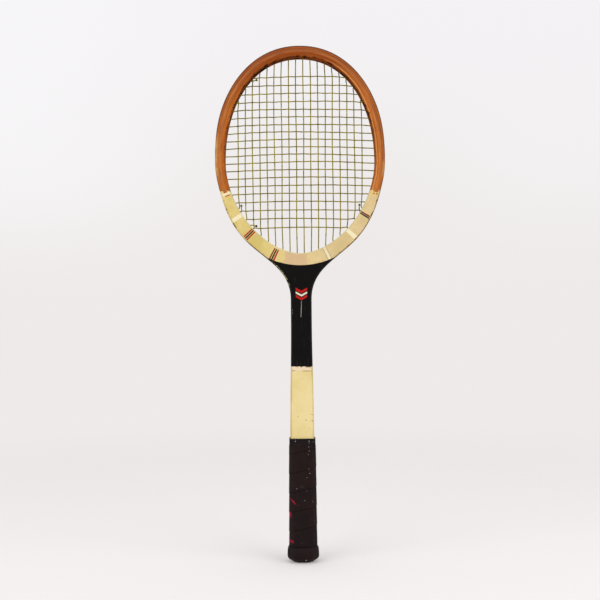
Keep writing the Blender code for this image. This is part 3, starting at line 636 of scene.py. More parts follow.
def cream_colour(look, fresh, aged, stained=0.6):
    """Old cream lacquer: yellowed in clouds, with greenish stains and a few dark specks."""
    clouds = look.cloud(34, detail=4)
    stains = look.cloud(75, detail=3)
    specks = look.cloud(620, detail=2)
    colour = look.mix(look.step(clouds, 0.36, 0.68), fresh, aged)
    colour = look.mix(look.share(look.step(stains, 0.58, 0.74), stained), colour, GREEN_STAIN)
    return look.cover(colour, tint(120, 92, 52), look.step(specks, 0.735, 0.78), 0.6)


def black_colour(look):
    """Black lacquer with hair scratches and small chips."""
    clouds = look.cloud(60)
    scratches = look.cloud(1900, 1900, 55, detail=1)
    chips = look.cloud(330, 330, 210, detail=2)
    colour = look.mix(clouds, tint(9, 8, 8), tint(18, 16, 15))
    colour = look.cover(colour, tint(110, 104, 94), look.step(scratches, 0.69, 0.76), 0.3)
    return look.cover(colour, tint(196, 178, 140), look.step(chips, 0.755, 0.775), 0.8)


def lacquer_bump(look):
    """The slight waviness of brushed lacquer over wood."""
    wave = look.cloud(120, 120, 60, detail=2)
    return look.bump(wave, 0.05 * MM)


TIP_STAIN_LOW_Z = 590 * MM
TIP_STAIN_HIGH_Z = 675 * MM


def stained_wood(look, base, dark, light, tip_share):
    """Colour, roughness and relief of the varnished hoop wood, which darkens towards the tip."""
    colour, streaks, pore = wood_colour(look, base, dark, light)
    z = look.parts(look.place())[2]
    tip = look.share(look.step(z, TIP_STAIN_LOW_Z, TIP_STAIN_HIGH_Z), tip_share)
    colour = look.mix(tip, colour, tint(128, 54, 20))
    relief = look.bump(look.less(streaks, look.share(pore, 0.6)), 0.04 * MM)
    return colour, look.between(streaks, 0.38, 0.55), relief


def make_core_wood():
    look = Look("core wood", 0.45)
    colours = tint(188, 106, 34), tint(162, 84, 26), tint(206, 124, 46)
    return look.finish(*stained_wood(look, *colours, 0.45))


# Inner ply: middle and half width of its painted highlight, and the heights over which its dark edge of
# painted shade and dirt grows
HIGHLIGHT_MIDDLE = 2.6 * MM
HIGHLIGHT_HALF_WIDTH = 0.5 * MM
SHADE_AND_DIRT_LOW_Z = 480 * MM
SHADE_AND_DIRT_HIGH_Z = 620 * MM


def make_inner_wood():
    """The ply by the strings: a painted highlight on the right, a dark edge of painted shade and dirt at the
    top, cream at the shoulders.
    """
    look = Look("inner wood", 0.6, gloss=0.0)
    colours = tint(194, 110, 46), tint(168, 88, 34), tint(210, 128, 58)
    colour, roughness, relief = stained_wood(look, *colours, 0.7)
    _, v, _ = look.parts(look.grain())
    x, _, z = look.parts(look.place())
    edge_noise = look.cloud(170, detail=4)
    blots = look.cloud(110, detail=2)
    # Painted highlight: a pale line along the inner face, on the right side only
    line = look.band(look.ragged(v, blots, 2.5 * MM), HIGHLIGHT_MIDDLE, HIGHLIGHT_HALF_WIDTH, 0.5 * MM)
    painted_highlight = look.both(line, look.step(x, 30 * MM, 60 * MM))
    colour = look.cover(colour, tint(232, 168, 104), painted_highlight, 0.8)
    # Painted shade with some dirt: the inner edge darkens towards the tip, where it faces down
    reach = look.ragged(v, edge_noise, 6 * MM)
    risen = look.between(look.step(z, SHADE_AND_DIRT_LOW_Z, SHADE_AND_DIRT_HIGH_Z), 0.22, 1.0)
    edge = look.both(look.step(reach, 2.2 * MM, 0.4 * MM), risen)
    shade_and_soot = look.mix(look.step(blots, 0.42, 0.6), tint(128, 64, 30), tint(48, 26, 16))
    painted = look.under(look.ragged(z, edge_noise, 3 * MM), FACING_TOP_Z, 0.3 * MM)
    cream = cream_colour(look, tint(228, 214, 164), tint(208, 198, 144))
    return look.finish(look.mix(painted, look.mix(edge, colour, shade_and_soot), cream), roughness, relief)


CROWN_END_Z = crown_meeting(rising_edge(0)[FOOT_STATION:])[1]


def under_crown_mask(look):
    """1 under the crown's lower arc."""
    x, _, z = look.parts(look.place())
    rise = look.less(z, CROWN_CENTRE_Z)
    away = look.length(x, rise)
    outside = look.step(away, CROWN_RADIUS - 0.15 * MM, CROWN_RADIUS + 0.15 * MM)
    return look.both(outside, look.step(z, CROWN_END_Z + 0.6 * MM, CROWN_END_Z + 0.3 * MM))


# Where the throat's black paint is chipped, and how far out from the middle it starts
CHIPPED_Z = 384 * MM
CHIPPED_HALF_LENGTH = 15 * MM
CHIPPED_X = -11 * MM


def chipped_mask(look):
    """1 where the black paint is chipped off the left edge of the throat."""
    x, _, z = look.parts(look.place())
    chips = look.cloud(420, detail=4)
    span = look.band(z, CHIPPED_Z, CHIPPED_HALF_LENGTH, 3 * MM)
    return look.both(span, look.under(x, CHIPPED_X, 1 * MM), look.step(chips, 0.42, 0.52))


# Outer ply: heights between which its rim darkens, and below which the left shoulder's edge is dirty.
# Rubbed stretches of its outer edge: side, then middle, half height and softness in mm, and strength
RIM_LOW_Z = 520 * MM
RIM_HIGH_Z = 630 * MM
DIRTY_LEFT_Z = 429 * MM
RUBBED_EDGES = ((-1, 538, 25, 14, 1.0), (1, 524, 11, 5, 0.5))


def make_bow_paint():
    """The outer ply: bare wood round the head, cream at the shoulders, black on the throat, cream below."""
    look = Look("outer ply", 0.5, gloss=0.15)
    colours = tint(180, 104, 38), tint(154, 82, 28), tint(198, 120, 50)
    wood, roughness, relief = stained_wood(look, *colours, 0.5)
    _, v, _ = look.parts(look.grain())
    x, y, z = look.parts(look.place())
    wobble = look.cloud(300)
    worn = look.cloud(90, detail=5, roughness=0.7)
    height = look.ragged(z, wobble, 1.2 * MM)
    edge = look.ragged(v, wobble, 1.5 * MM)
    risen = look.between(look.step(z, RIM_LOW_Z, RIM_HIGH_Z), 0.35, 0.9)
    rim = look.both(look.step(edge, -2.2 * MM, -0.8 * MM), risen)
    wood = look.mix(rim, wood, tint(72, 34, 24))
    rubbed = 0.0
    for side, middle, half_height, soft, most in RUBBED_EDGES:
        stretch = look.band(height, middle * MM, half_height * MM, soft * MM)
        stretch = look.both(stretch, look.step(x, -side * 5 * MM, side * 5 * MM))
        rubbed = look.math("MAXIMUM", rubbed, look.share(stretch, most))
    rubbed = look.both(rubbed, look.step(worn, 0.38, 0.56), look.step(edge, -4.4 * MM, -2.0 * MM))
    wood = look.cover(wood, tint(208, 168, 112), rubbed, 0.8)
    low = look.step(z, FACING_TOP_Z, FACING_TOP_Z - 8 * MM)
    wood = look.cover(wood, WORN_EDGE, low, 0.6)
    face = look.step(look.math("ABSOLUTE", y), HALF_DEPTH - 2.3 * MM, HALF_DEPTH - 1.5 * MM)
    cream = cream_colour(look, tint(230, 208, 150), tint(206, 184, 112))
    below = look.under(height, FACING_TOP_Z, 0.2 * MM)
    shoulder = look.both(below, face, look.step(worn, 0.62, 0.52))
    low_side = look.under(z, DIRTY_LEFT_Z, 5 * MM)
    dirty_side = look.math("MAXIMUM", look.step(x, -5 * MM, 5 * MM), low_side)
    dirt = look.both(look.step(edge, -1.7 * MM, -0.8 * MM), dirty_side)
    colour = look.mix(shoulder, wood, look.mix(look.share(dirt, 0.85), cream, WORN_EDGE))
    black = look.both(under_crown_mask(look), look.step(worn, 0.74, 0.68))
    colour = look.mix(black, colour, black_colour(look))
    colour = look.cover(colour, tint(176, 168, 122), chipped_mask(look), 0.7)
    shaft = look.under(height, BLACK_LOW_Z, 0.2 * MM)
    colour = look.mix(shaft, colour, look.mix(look.step(worn, 0.68, 0.74), cream, BARE_WOOD))
    return look.finish(colour, roughness, relief)


# Stripes across the shoulders, in mm: distance along the opening from the crown's middle, right positive, and
# width. A group has its middle, the pitch of its lines, how far from the opening they begin, and their inks.
# The short line also has its middle and half length across the strip, and a spot has its middle there.
WIDE_BANDS = ((-96.8, 5.0), (70.5, 5.0), (-131.0, 4.2))
PALE_BAND = (32.0, 4.2)
PALE_BAND_LINE = 0.6
LINE_GROUPS = (
    (-71.0, 2.5, 0.8, (RED_INK, BLACK_INK, RED_INK)),
    (-32.0, 2.5, 2.8, (BROWN_INK, BLACK_INK, RED_INK)),
    (99.7, 2.2, 0.8, (BLACK_INK, DEEP_RED_INK)),
)
LINE_WIDTH = 1.8
SHORT_LINE = (-127.4, 1.3, 5.6, 3.2)
TOP_BAND = (129.4, 5.0)
TOP_BAND_SPOTS = ((129.2, 6.3), (129.8, 10.2))
BARE_PATCH = (-5.5, 13.0)


def stripe(look, colour, u, middle, width, ink, wear):
    """A painted line across the shoulder, at a distance along the opening from the crown's middle."""
    line = look.band(u, middle * MM, width / 2 * MM, 0.12 * MM)
    return look.mix(look.both(line, wear), colour, ink)


def make_shoulder_paint():
    """Cream shoulders with plain stripes, a rubbed patch on the crown and brown edges."""
    look = Look("cream shoulders", 0.4)
    u, v, _ = look.parts(look.grain())
    x = look.parts(look.place())[0]
    fine = look.cloud(900, detail=2)
    worn = look.cloud(130, detail=5, roughness=0.7)
    along = look.ragged(u, fine, 0.3 * MM)
    left = cream_colour(look, tint(230, 208, 134), tint(212, 192, 108))
    right = cream_colour(look, tint(228, 204, 152), tint(214, 190, 134), 0.15)
    colour = look.mix(look.step(x, -50 * MM, 50 * MM), left, right)
    grain = look.noise(look.scaled(look.vector(u, v, 0), 30, 900, 1), detail=3)
    colour = look.cover(colour, tint(206, 164, 98), look.step(grain, 0.45, 0.65), 0.22)
    whole = look.step(worn, 0.68, 0.60)
    for middle, width in WIDE_BANDS:
        colour = stripe(look, colour, along, middle, width, WHITE_INK, whole)
    middle, width = PALE_BAND
    colour = stripe(look, colour, along, middle, width, WHITE_INK, look.share(whole, 0.7))
    for edge in (middle - width / 2, middle + width / 2):
        colour = stripe(look, colour, along, edge, PALE_BAND_LINE, WORN_EDGE, look.share(whole, 0.7))
    for middle, pitch, begin, inks in LINE_GROUPS:
        inked = look.both(whole, look.step(v, (begin - 0.3) * MM, (begin + 0.3) * MM))
        for number, ink in enumerate(inks):
            place_along = middle + (number - (len(inks) - 1) / 2) * pitch
            colour = stripe(look, colour, along, place_along, LINE_WIDTH, ink, inked)
    middle, width, out, half_length = SHORT_LINE
    short = look.band(v, out * MM, half_length * MM, 0.4 * MM)
    colour = stripe(look, colour, along, middle, width, tint(176, 74, 36), short)
    colour = stripe(look, colour, along, *TOP_BAND, tint(236, 196, 116), look.share(whole, 0.9))
    for middle, out in TOP_BAND_SPOTS:
        spot = look.band(along, middle * MM, 1.0 * MM, 0.5 * MM)
        spot = look.both(spot, look.band(v, out * MM, 1.0 * MM, 0.5 * MM))
        colour = look.cover(colour, tint(120, 82, 34), spot, 0.85)
    patch = look.band(look.ragged(u, worn, 16 * MM), BARE_PATCH[0] * MM, BARE_PATCH[1] * MM, 2.5 * MM)
    colour = look.cover(colour, BARE_WOOD, patch, 0.9)
    edge = look.both(look.step(v, 15.5 * MM, 18 * MM), look.step(worn, 0.5, 0.62))
    colour = look.cover(colour, WORN_EDGE, edge, 0.7)
    return look.finish(colour, look.between(worn, 0.34, 0.5), lacquer_bump(look))


# Badge of plain chevrons on the throat: its point, slope and reach to each side, and its bars, each with its
# height over the point and its width in mm
BADGE_X = 0.4 * MM
BADGE_Z = 355.0 * MM
BADGE_SLOPE = 0.55
BADGE_REACH = 7.6 * MM
BADGE_RED = tint(198, 32, 28)
BADGE_BARS = ((-4.6, 3.4, BADGE_RED), (0.0, 2.6, tint(240, 232, 208)), (4.6, 3.4, BADGE_RED))

# Scratch under the badge, and two nicks by the left edge
SCRATCH_X = -0.2 * MM
SCRATCH_LEAN = 0.06
SCRATCH_Z = 337.0 * MM
SCRATCH_HALF_LENGTH = 10.5 * MM
NICK_X = -12.2 * MM
NICK_HEIGHTS = (335.8 * MM, 331.6 * MM)


def make_throat_paint(badged):
    """Black throat. The front one has a small badge of chevrons, a scratch under it and nicks by its edge."""
    look = Look("black throat front" if badged else "black throat back", 0.34, gloss=0.06)
    x, _, z = look.parts(look.place())
    fine = look.cloud(700, detail=2)
    wobble = look.cloud(160, detail=2)
    colour = black_colour(look)
    if badged:
        aside = look.math("ABSOLUTE", look.less(x, BADGE_X))
        rise = look.less(look.less(z, BADGE_Z), look.share(aside, BADGE_SLOPE))
        aside = look.ragged(aside, fine, 0.5 * MM)
        inside = look.under(aside, BADGE_REACH, 0.15 * MM)
        for middle, width, ink in BADGE_BARS:
            bar = look.band(look.ragged(rise, fine, 0.4 * MM), middle * MM, width / 2 * MM, 0.15 * MM)
            colour = look.mix(look.both(bar, inside, look.between(fine, 1.0, 0.85)), colour, ink)
        fall = look.less(z, SCRATCH_Z)
        line = look.ragged(look.less(x, look.share(fall, SCRATCH_LEAN)), wobble, 2.2 * MM)
        scratch = look.band(line, SCRATCH_X, 0.32 * MM, 0.2 * MM)
        scratch = look.both(scratch, look.band(fall, 0.0, SCRATCH_HALF_LENGTH, 1 * MM))
        colour = look.cover(colour, tint(196, 190, 178), scratch, 0.75)
        for height in NICK_HEIGHTS:
            nick = look.band(x, NICK_X, 0.5 * MM, 0.3 * MM)
            nick = look.both(nick, look.band(z, height, 1.0 * MM, 0.4 * MM))
            colour = look.cover(colour, tint(206, 200, 186), nick, 0.8)
    return look.finish(colour, look.between(wobble, 0.26, 0.42), lacquer_bump(look))


# Rubbed band at the top of the cream shaft, the middle and half width of the gap in its line, and small dark
# marks, each with its X, Z and radius in mm
RUBBED_BAND = 6.2 * MM
LINE_GAP = (-4.0 * MM, 5.0 * MM)
SHAFT_MARKS = (
    (-5.4, 194.7, 0.7),
    (5.3, 189.4, 0.7),
    (4.6, 191.2, 0.4),
    (13.0, 197.0, 0.7),
    (13.2, 188.6, 0.8),
    (9.6, 178.0, 0.4),
    (0.6, 244.6, 0.4),
)


def dotted(look, colour, marks, ink, *factors):
    """The colour with small round marks, each given by its X, Z and radius in mm."""
    x, _, z = look.parts(look.place())
    for middle, height, radius in marks:
        away = look.length(look.less(x, middle * MM), look.less(z, height * MM))
        dot = look.under(away, radius * MM, 0.2 * MM)
        colour = look.mix(look.both(dot, *factors), colour, ink)
    return colour


def make_shaft_paint():
    """Cream shaft with a rubbed band and a brown line at its top."""
    look = Look("cream shaft", 0.38)
    x, _, z = look.parts(look.place())
    wobble = look.cloud(260, detail=4)
    height = look.ragged(z, wobble, 3.2 * MM)
    colour = cream_colour(look, tint(241, 221, 160), tint(233, 211, 144), 0.0)
    end = BLACK_LOW_Z - RUBBED_BAND
    colour = look.mix(look.step(height, end - 0.5 * MM, end + 0.5 * MM), colour, tint(240, 218, 180))
    kept = look.between(look.band(x, *LINE_GAP, 1.5 * MM), 0.85, 0.2)
    colour = look.mix(look.both(look.band(height, end, 0.5 * MM, 0.3 * MM), kept), colour, tint(150, 108, 64))
    frayed = look.step(height, BLACK_LOW_Z - 1.6 * MM, BLACK_LOW_Z - 0.6 * MM)
    frayed = look.both(frayed, look.step(wobble, 0.48, 0.54))
    colour = look.mix(frayed, colour, tint(48, 38, 30))
    colour = dotted(look, colour, SHAFT_MARKS, tint(120, 92, 52), 0.75)
    return look.finish(colour, look.between(wobble, 0.34, 0.48), lacquer_bump(look))


def leather_ground(name, base, worn_tint, wear_low):
    """Old dark leather: its look, colour, creases and relief, with a pebbled grain and rubbed spots."""
    look = Look(name, 0.62, gloss=0.1)
    pebbles = look.node("TexVoronoi", {"Vector": look.place(), "Scale": 900.0}).outputs["Distance"]
    creases = look.cloud(260, 260, 90, detail=4)
    clouds = look.cloud(45, detail=3)
    rubbed = look.cloud(120, detail=4, roughness=0.7)
    colour = look.mix(look.step(clouds, 0.3, 0.7), base, tint(34, 19, 18))
    colour = look.cover(colour, tint(12, 8, 8), look.step(creases, 0.55, 0.7), 0.4)
    colour = look.cover(colour, worn_tint, look.step(rubbed, wear_low, wear_low + 0.08), 0.8)
    height = look.math("ADD", look.share(pebbles, 0.5), creases)
    return look, colour, creases, height


def finish_leather(look, colour, creases, height):
    return look.finish(colour, look.between(creases, 0.5, 0.68), look.bump(height, 0.12 * MM))


def make_leather(name, *kind):
    return finish_leather(*leather_ground(name, *kind))


# Spots on the grip's front that are rubbed to red: X, Z, half width and half height in mm, and lean
RUBBED_SPOTS = ((-13.1, 82.6, 4.2, 1.9, -0.85), (-17.2, 64.4, 2.0, 4.4, 0.0), (-15.6, 29.5, 3.8, 2.4, -0.3))
PIN_PITCH = 3.1 * MM
PIN_RADIUS = 0.4 * MM
# Pin holes on the front that are full of pale dust, and flecks on the collar: X, Z and radius in mm
DUSTY_PINS = (
    (8.4, 154.7, 0.6),
    (8.9, 149.4, 0.6),
    (7.7, 144.6, 0.5),
    (8.2, 125.6, 0.6),
    (9.5, 119.7, 0.7),
    (5.5, 114.1, 0.5),
    (-8.1, 99.7, 0.6),
    (5.2, 96.5, 0.5),
    (2.5, 83.8, 0.6),
    (13.0, 82.4, 0.5),
)
COLLAR_FLECKS = (
    (-9.4, 161.6, 0.7),
    (-9.2, 163.4, 0.4),
    (8.8, 161.8, 0.8),
    (9.2, 159.6, 0.5),
    (14.2, 161.0, 0.5),
)


def make_strap_leather():
    """The strap's leather, with rows of pin holes and a few spots rubbed to red."""
    kind = tint(25, 16, 16), tint(66, 20, 24), 0.74
    look, colour, creases, height = leather_ground("leather strap", *kind)
    x, y, z = look.parts(look.place())
    u, v, _ = look.parts(look.grain())
    blur = look.cloud(420, detail=3)
    front = look.step(y, 0.0, -4 * MM)
    for middle, height_mm, half_width, half_height, lean in RUBBED_SPOTS:
        across = look.less(x, middle * MM)
        up = look.less(look.less(z, height_mm * MM), look.share(across, lean))
        away = look.length(look.share(across, 1 / (half_width * MM)), look.share(up, 1 / (half_height * MM)))
        spot = look.step(look.ragged(away, blur, 1.8), 1.2, 0.3)
        colour = look.mix(look.both(spot, front), colour, tint(152, 22, 46))
    away = look.length(*(look.math("PINGPONG", side, PIN_PITCH / 2) for side in (u, v)))
    pin = look.step(away, PIN_RADIUS, PIN_RADIUS * 0.7)
    dusty = look.step(look.cloud(150, detail=2), 0.66, 0.74)
    # Dark pin holes: painted shade inside them, over the dark cloth below
    colour = look.cover(colour, tint(8, 6, 6), pin, 0.6)
    colour = look.mix(look.both(pin, dusty), colour, tint(120, 108, 104))
    colour = dotted(look, colour, DUSTY_PINS, tint(150, 140, 136), front, look.between(blur, 0.4, 0.9))
    height = look.less(height, look.share(pin, 1.5))
    return finish_leather(look, colour, creases, height)


def make_collar_leather():
    """The collar, with a few pale flecks on its front."""
    look, colour, creases, height = leather_ground("collar", tint(12, 10, 10), tint(46, 38, 36), 0.76)
    front = look.step(look.parts(look.place())[1], 0.0, -4 * MM)
    paler = look.between(creases, 0.2, 1.0)
    colour = dotted(look, colour, COLLAR_FLECKS, tint(160, 152, 150), front, paler)
    return finish_leather(look, colour, creases, height)


# Turns of the gut's twist, in radians to a metre along the string and round it
TWIST_ALONG = 2600
TWIST_ROUND = 1538


def make_string_look():
    """Aged gut: yellow and olive in clouds, with dark flecks, dark stretches that are partly age and partly
    painted shade of the crossings, and a faint twist.
    """
    look = Look("aged gut", 0.5, gloss=0.05)
    u, v, _ = look.parts(look.grain())
    clouds = look.cloud(70, detail=3)
    flecks = look.noise(look.scaled(look.vector(u, v, 0), 420, 900, 1), detail=2)
    shade_and_age_stretches = look.noise(look.scaled(look.vector(u, 0, 0), 120, 1, 1), detail=2)
    colour = look.mix(look.step(clouds, 0.36, 0.64), tint(160, 147, 16), tint(122, 110, 10))
    colour = look.cover(colour, tint(60, 44, 20), look.step(flecks, 0.58, 0.70), 0.5)
    # Dark stretches: partly the gut's age, partly painted shade standing for where the strings cross
    colour = look.cover(colour, tint(76, 64, 24), look.step(shade_and_age_stretches, 0.54, 0.62), 0.75)
    twist = look.math("SINE", look.math("ADD", look.share(u, TWIST_ALONG), look.share(v, TWIST_ROUND)))
    return look.finish(colour, look.between(clouds, 0.36, 0.55), look.bump(twist, 0.03 * MM))


def make_knot_look():
    """The strings' cut ends, gone dark."""
    look = Look("dark ends", 0.6)
    fibres = look.cloud(1400, detail=3)
    colour = look.mix(look.step(fibres, 0.4, 0.65), tint(30, 22, 18), tint(84, 66, 44))
    return look.finish(colour, look.between(fibres, 0.5, 0.7), look.bump(fibres, 0.08 * MM))


def make_plain_wood(name, base, dark, light):
    """Unfinished wood, with grain by place."""
    look = Look(name, 0.6)
    streaks = look.cloud(900, 900, 22, detail=4)
    broad = look.cloud(60, 60, 12, detail=2)
    colour = look.mix(look.step(streaks, 0.38, 0.64), dark, light)
    colour = look.mix(look.between(broad, 0.2, 0.8), colour, base)
    return look.finish(colour, look.between(streaks, 0.5, 0.7), look.bump(streaks, 0.05 * MM))


def make_brass():
    """A dull, worn tack."""
    look = Look("tack", 0.4)
    look.shader.inputs["Metallic"].default_value = 1.0
    dirt = look.cloud(900, detail=4)
    colour = look.mix(look.step(dirt, 0.42, 0.66), tint(140, 136, 126), tint(84, 74, 64))
    return look.finish(colour, look.between(dirt, 0.28, 0.6), look.bump(dirt, 0.05 * MM))


# Wood


def band_rows(points, normals, section, run):
    """Rows of a strip that follows a path, from sections of (outwards, depth) pairs, with their grain."""
    rows, grain = [], []
    for point, normal, corners, distance in zip(points, normals, section, run):
        rows.append([(point[0] + normal[0] * out, y, point[1] + normal[1] * out) for out, y in corners])
        grain.append([(distance, out) for out, y in corners])
    return rows, grain


def both_faces(front):
    """A whole section from its front half."""
    return front + [(out, -y) for out, y in reversed(front)]


def arc(centre, radius, start, end, steps=5):
    """Points of an arc in (outwards, depth), between two angles in degrees."""
    angles = np.radians(np.linspace(start, end, steps + 1))
    return [(centre[0] + radius * math.cos(a), centre[1] + radius * math.sin(a)) for a in angles]


def outer_section(groove):
    """The outer ply: rounded outside, with the string groove in its middle."""
    h = HALF_DEPTH
    inside = -OUTER_PLY
    front = [(inside, -h + PLY_EDGE), (inside + PLY_EDGE, -h)]
    front += arc((-OUTER_ROUND, -h + OUTER_ROUND), OUTER_ROUND, -90, 0)
    far = GROOVE_HALF_FLOOR + GROOVE_FLANK
    for share in (0.0, 0.2, 0.5, 0.8, 1.0):
        front.append((-groove * eased(share, 0, 1), -far + GROOVE_FLANK * share))
    front.append((-groove, -GROOVE_HALF_FLOOR / 2))
    return both_faces(front)


def make_outer_ply(material):
    sections = []
    for _, z in OUTLINE:
        fade = eased(z, GROOVE_END_Z - GROOVE_FADE, GROOVE_END_Z)
        sections.append(outer_section(max(GROOVE_LEAST, GROOVE_DEPTH * fade)))
    rows, grain = band_rows(OUTLINE, OUTLINE_NORMALS, sections, run_of(OUTLINE))
    return show_for(loft("outer_ply", rows, grain, material), "outer_bow")


def make_core_ply(material):
    outside, inside = -OUTER_PLY - GLUE_GROOVE, GLUE_GROOVE - FILLER_INSET
    section = rounded(both_faces([(inside, -HALF_DEPTH), (outside, -HALF_DEPTH)]), PLY_EDGE, 2)
    rows, grain = band_rows(OUTLINE, OUTLINE_NORMALS, [section] * len(OUTLINE), run_of(OUTLINE))
    return show_for(loft("core_ply", rows, grain, material), "core_bow")


def make_inner_ply(material):
    """A closed ring, from the tip down the right side and up the left one."""
    mouths = [mouth_at(turn, 1) for turn in RING_TURNS] + [mouth_at(turn, -1) for turn in RING_TURNS[-2:0:-1]]
    sections = []
    for mouth in mouths:
        outside = INNER_PLY + tip_growth(mouth.turn) + GLUE_LINE - GLUE_GROOVE
        edge = arc((INNER_ROUND, INNER_ROUND - HALF_DEPTH), INNER_ROUND, -90, -180)
        sections.append(both_faces([(outside, -HALF_DEPTH), *edge]))
    points = np.array([mouth.point for mouth in mouths])
    rows, grain = band_rows(points, [mouth.normal for mouth in mouths], sections, run_of(points))
    return show_for(loft("inner_ply", rows, grain, material, closed=True), "inner_hoop")


# Facings


def shoulder_reach(mouth, edge):
    """How far the shoulder facing reaches from the opening: to the outline's edge or to the crown's arc."""
    nearest = FILLER_INSET * 3
    for a, b in zip(edge, edge[1:]):
        met = crossing(mouth, a, b)
        if met is not None and 0 < met[0] < nearest and -END_SLACK <= met[1] <= 1 + END_SLACK:
            nearest = met[0]
    return nearest


def facing_faces(side):
    """Depths of a facing's hidden and open face, front where side is -1."""
    return side * (HALF_DEPTH - FACING_SINK), side * (HALF_DEPTH + FACING_RISE)


def make_shoulder_facing(name, side, material, node):
    """A strip round the lower head, from one top end to the other."""
    legs = rising_edge(FACING_OUTER_EDGE)[FOOT_STATION:]
    corner = crown_meeting(legs)
    arc_edge = np.array(under_crown(corner[0])[ARC_STEPS::-1])
    edge = np.vstack([arc_edge, legs[legs[:, 1] > corner[1]]])
    start = beside(mouth_at(FACING_TURN, 1), FACING_GAP).turn
    turns = even_turns(start, math.pi, FACING_STEPS)
    mouths = [mouth_at(turn, 1) for turn in turns]
    reaches = [shoulder_reach(mouth, edge) for mouth in mouths]
    run = run_of(np.array([mouth.point for mouth in mouths]))
    run = run[-1] - run
    near, far = facing_faces(side)
    r = FACING_ROUND
    rows, grain = [], []
    whole = list(zip(mouths, reaches, run))
    for mirror, stations in ((1, whole), (-1, whole[-2::-1])):
        for mouth, reach, distance in stations:
            inner = FACING_INNER_EDGE
            section = [(inner, near), (inner, far - side * r), (inner + r, far)]
            section += [(inner + (reach - inner) * share, far) for share in (0.35, 0.7)]
            section += [(reach - r, far), (reach, far - side * r), (reach, near)]
            x, z = mouth.point
            nx, nz = mouth.normal
            rows.append([(mirror * (x + nx * out), y, z + nz * out) for out, y in section])
            grain.append([(mirror * distance, out) for out, y in section])
    show_for(loft(name, rows, grain, material), node)


def throat_outline():
    edge = rising_edge(FACING_OUTER_EDGE)
    meeting = crown_meeting(edge, FACING_GAP)
    side = [tuple(p) for p in edge if BLACK_LOW_Z < p[1] < meeting[1] - 0.2 * MM]
    low = (float(np.interp(BLACK_LOW_Z, edge[:, 1], edge[:, 0])), BLACK_LOW_Z)
    right = [low, *side, tuple(meeting)]
    return right + under_crown(meeting[0], FACING_GAP)[1:-1] + [(-x, z) for x, z in reversed(right)]


def shaft_outline():
    edge = rising_edge(FACING_OUTER_EDGE)
    low_z, high_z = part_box("shaft_facing_front")[0][2], BLACK_LOW_Z - FACING_GAP
    side = [tuple(p) for p in edge if low_z < p[1] < high_z]
    ends = [(float(np.interp(z, edge[:, 1], edge[:, 0])), z) for z in (low_z, high_z)]
    right = [ends[0], *side, ends[1]]
    return right + [(-x, z) for x, z in reversed(right)]


def make_facings(shoulder, throats, shaft):
    for name, side, throat in (("front", -1, throats[0]), ("back", 1, throats[1])):
        near, far = facing_faces(side)
        make_shoulder_facing("shoulder_paint_" + name, side, shoulder, "shoulder_facing_" + name)
        show_for(plate("throat_paint_" + name, throat_outline(), near, far, throat), "throat_facing_" + name)
        show_for(plate("shaft_paint_" + name, shaft_outline(), near, far, shaft), "shaft_facing_" + name)


# Strings: their routes follow the CAD frame's, with both sets bending at each crossing

MAIN_COUNT = 18
CROSS_COUNT = 20
STRING_RADIUS = 0.65 * MM
GUT_RADIUS = 0.71 * MM
STRING_CLEARANCE = 0.3 * MM
MAIN_EDGE_MARGIN = 17.2 * MM
CROSS_TOP_MARGIN = 24.8 * MM
CROSS_LOW_MARGIN = 34.8 * MM
CROSS_SPREAD = 0.0575
CROSS_LIFT = 2.2 * MM
CROSS_ARCH = 3.0 * MM
LANE = 1.35 * MM
STRING_ENTRY = 1.6 * MM
WEAVE_MARGIN = 4.0 * MM
TIE_OFF_STEP = 5.5 * MM
KNOT_RADIUS = 1.6 * MM
KNOT_INSET = 3.0 * MM
MAIN_WAVE = 0.33 * MM
CROSS_WAVE = 1.1 * MM
WAVE_STEPS = 6
STRING_BEND = 1.6 * MM
STRAY = 0.45 * MM
HOLE_RADIUS = 1.1 * MM
HOLE_LEAD = 2.0 * MM
MAIN_PITCH = 2 * (OPENING_HALF_WIDTH - MAIN_EDGE_MARGIN) / (MAIN_COUNT - 1)
CROSS_TOP_Z = OPENING_TOP_Z - CROSS_TOP_MARGIN
CROSS_LOW_Z = OPENING_LOW_Z + CROSS_LOW_MARGIN
LOOP_PATH = inside_outline(GROOVE_DEPTH - STRING_CLEARANCE - STRING_RADIUS)
LEG_INSIDE = rising_edge(FILLER_INSET)[FOOT_STATION : FOOT_STATION + THROAT_STEPS + HEAD_STEPS // 2]
RECESS_HALF_SPAN = crown_meeting(LEG_INSIDE, RECESS_HEIGHT + RECESS_WALL)[0]
RECESS_PATH = np.array(under_crown(RECESS_HALF_SPAN - 2 * STRING_RADIUS, STRING_RADIUS + STRING_CLEARANCE))


def stray(number, along, seed):
    """A string's small departure from its even place, as hand stringing leaves it."""
    return STRAY * math.sin(2.3 * number + seed) * math.sin(along / (31 * MM) + 1.7 * number + seed)


def main_x(number):
    return (number - (MAIN_COUNT + 1) / 2) * MAIN_PITCH


def cross_z(number, x):
    """Height of a cross: wider steps towards both ends, and every cross bent down at its sides."""
    middle, half = (CROSS_TOP_Z + CROSS_LOW_Z) / 2, (CROSS_TOP_Z - CROSS_LOW_Z) / 2
    share = 1 - 2 * (number - 1) / (CROSS_COUNT - 1)
    spread = share * (1 - CROSS_SPREAD) + CROSS_SPREAD * share**3
    arch = CROSS_ARCH * (x / OPENING_HALF_WIDTH) ** 2
    return middle + half * spread + CROSS_LIFT * (1 - share**2) - arch


def main_mouths(number):
    """Where a main leaves the bed, low and high."""
    x = main_x(number)
    return [mouth_at(turn_at_x(x, low), math.copysign(1, x)) for low in (True, False)]


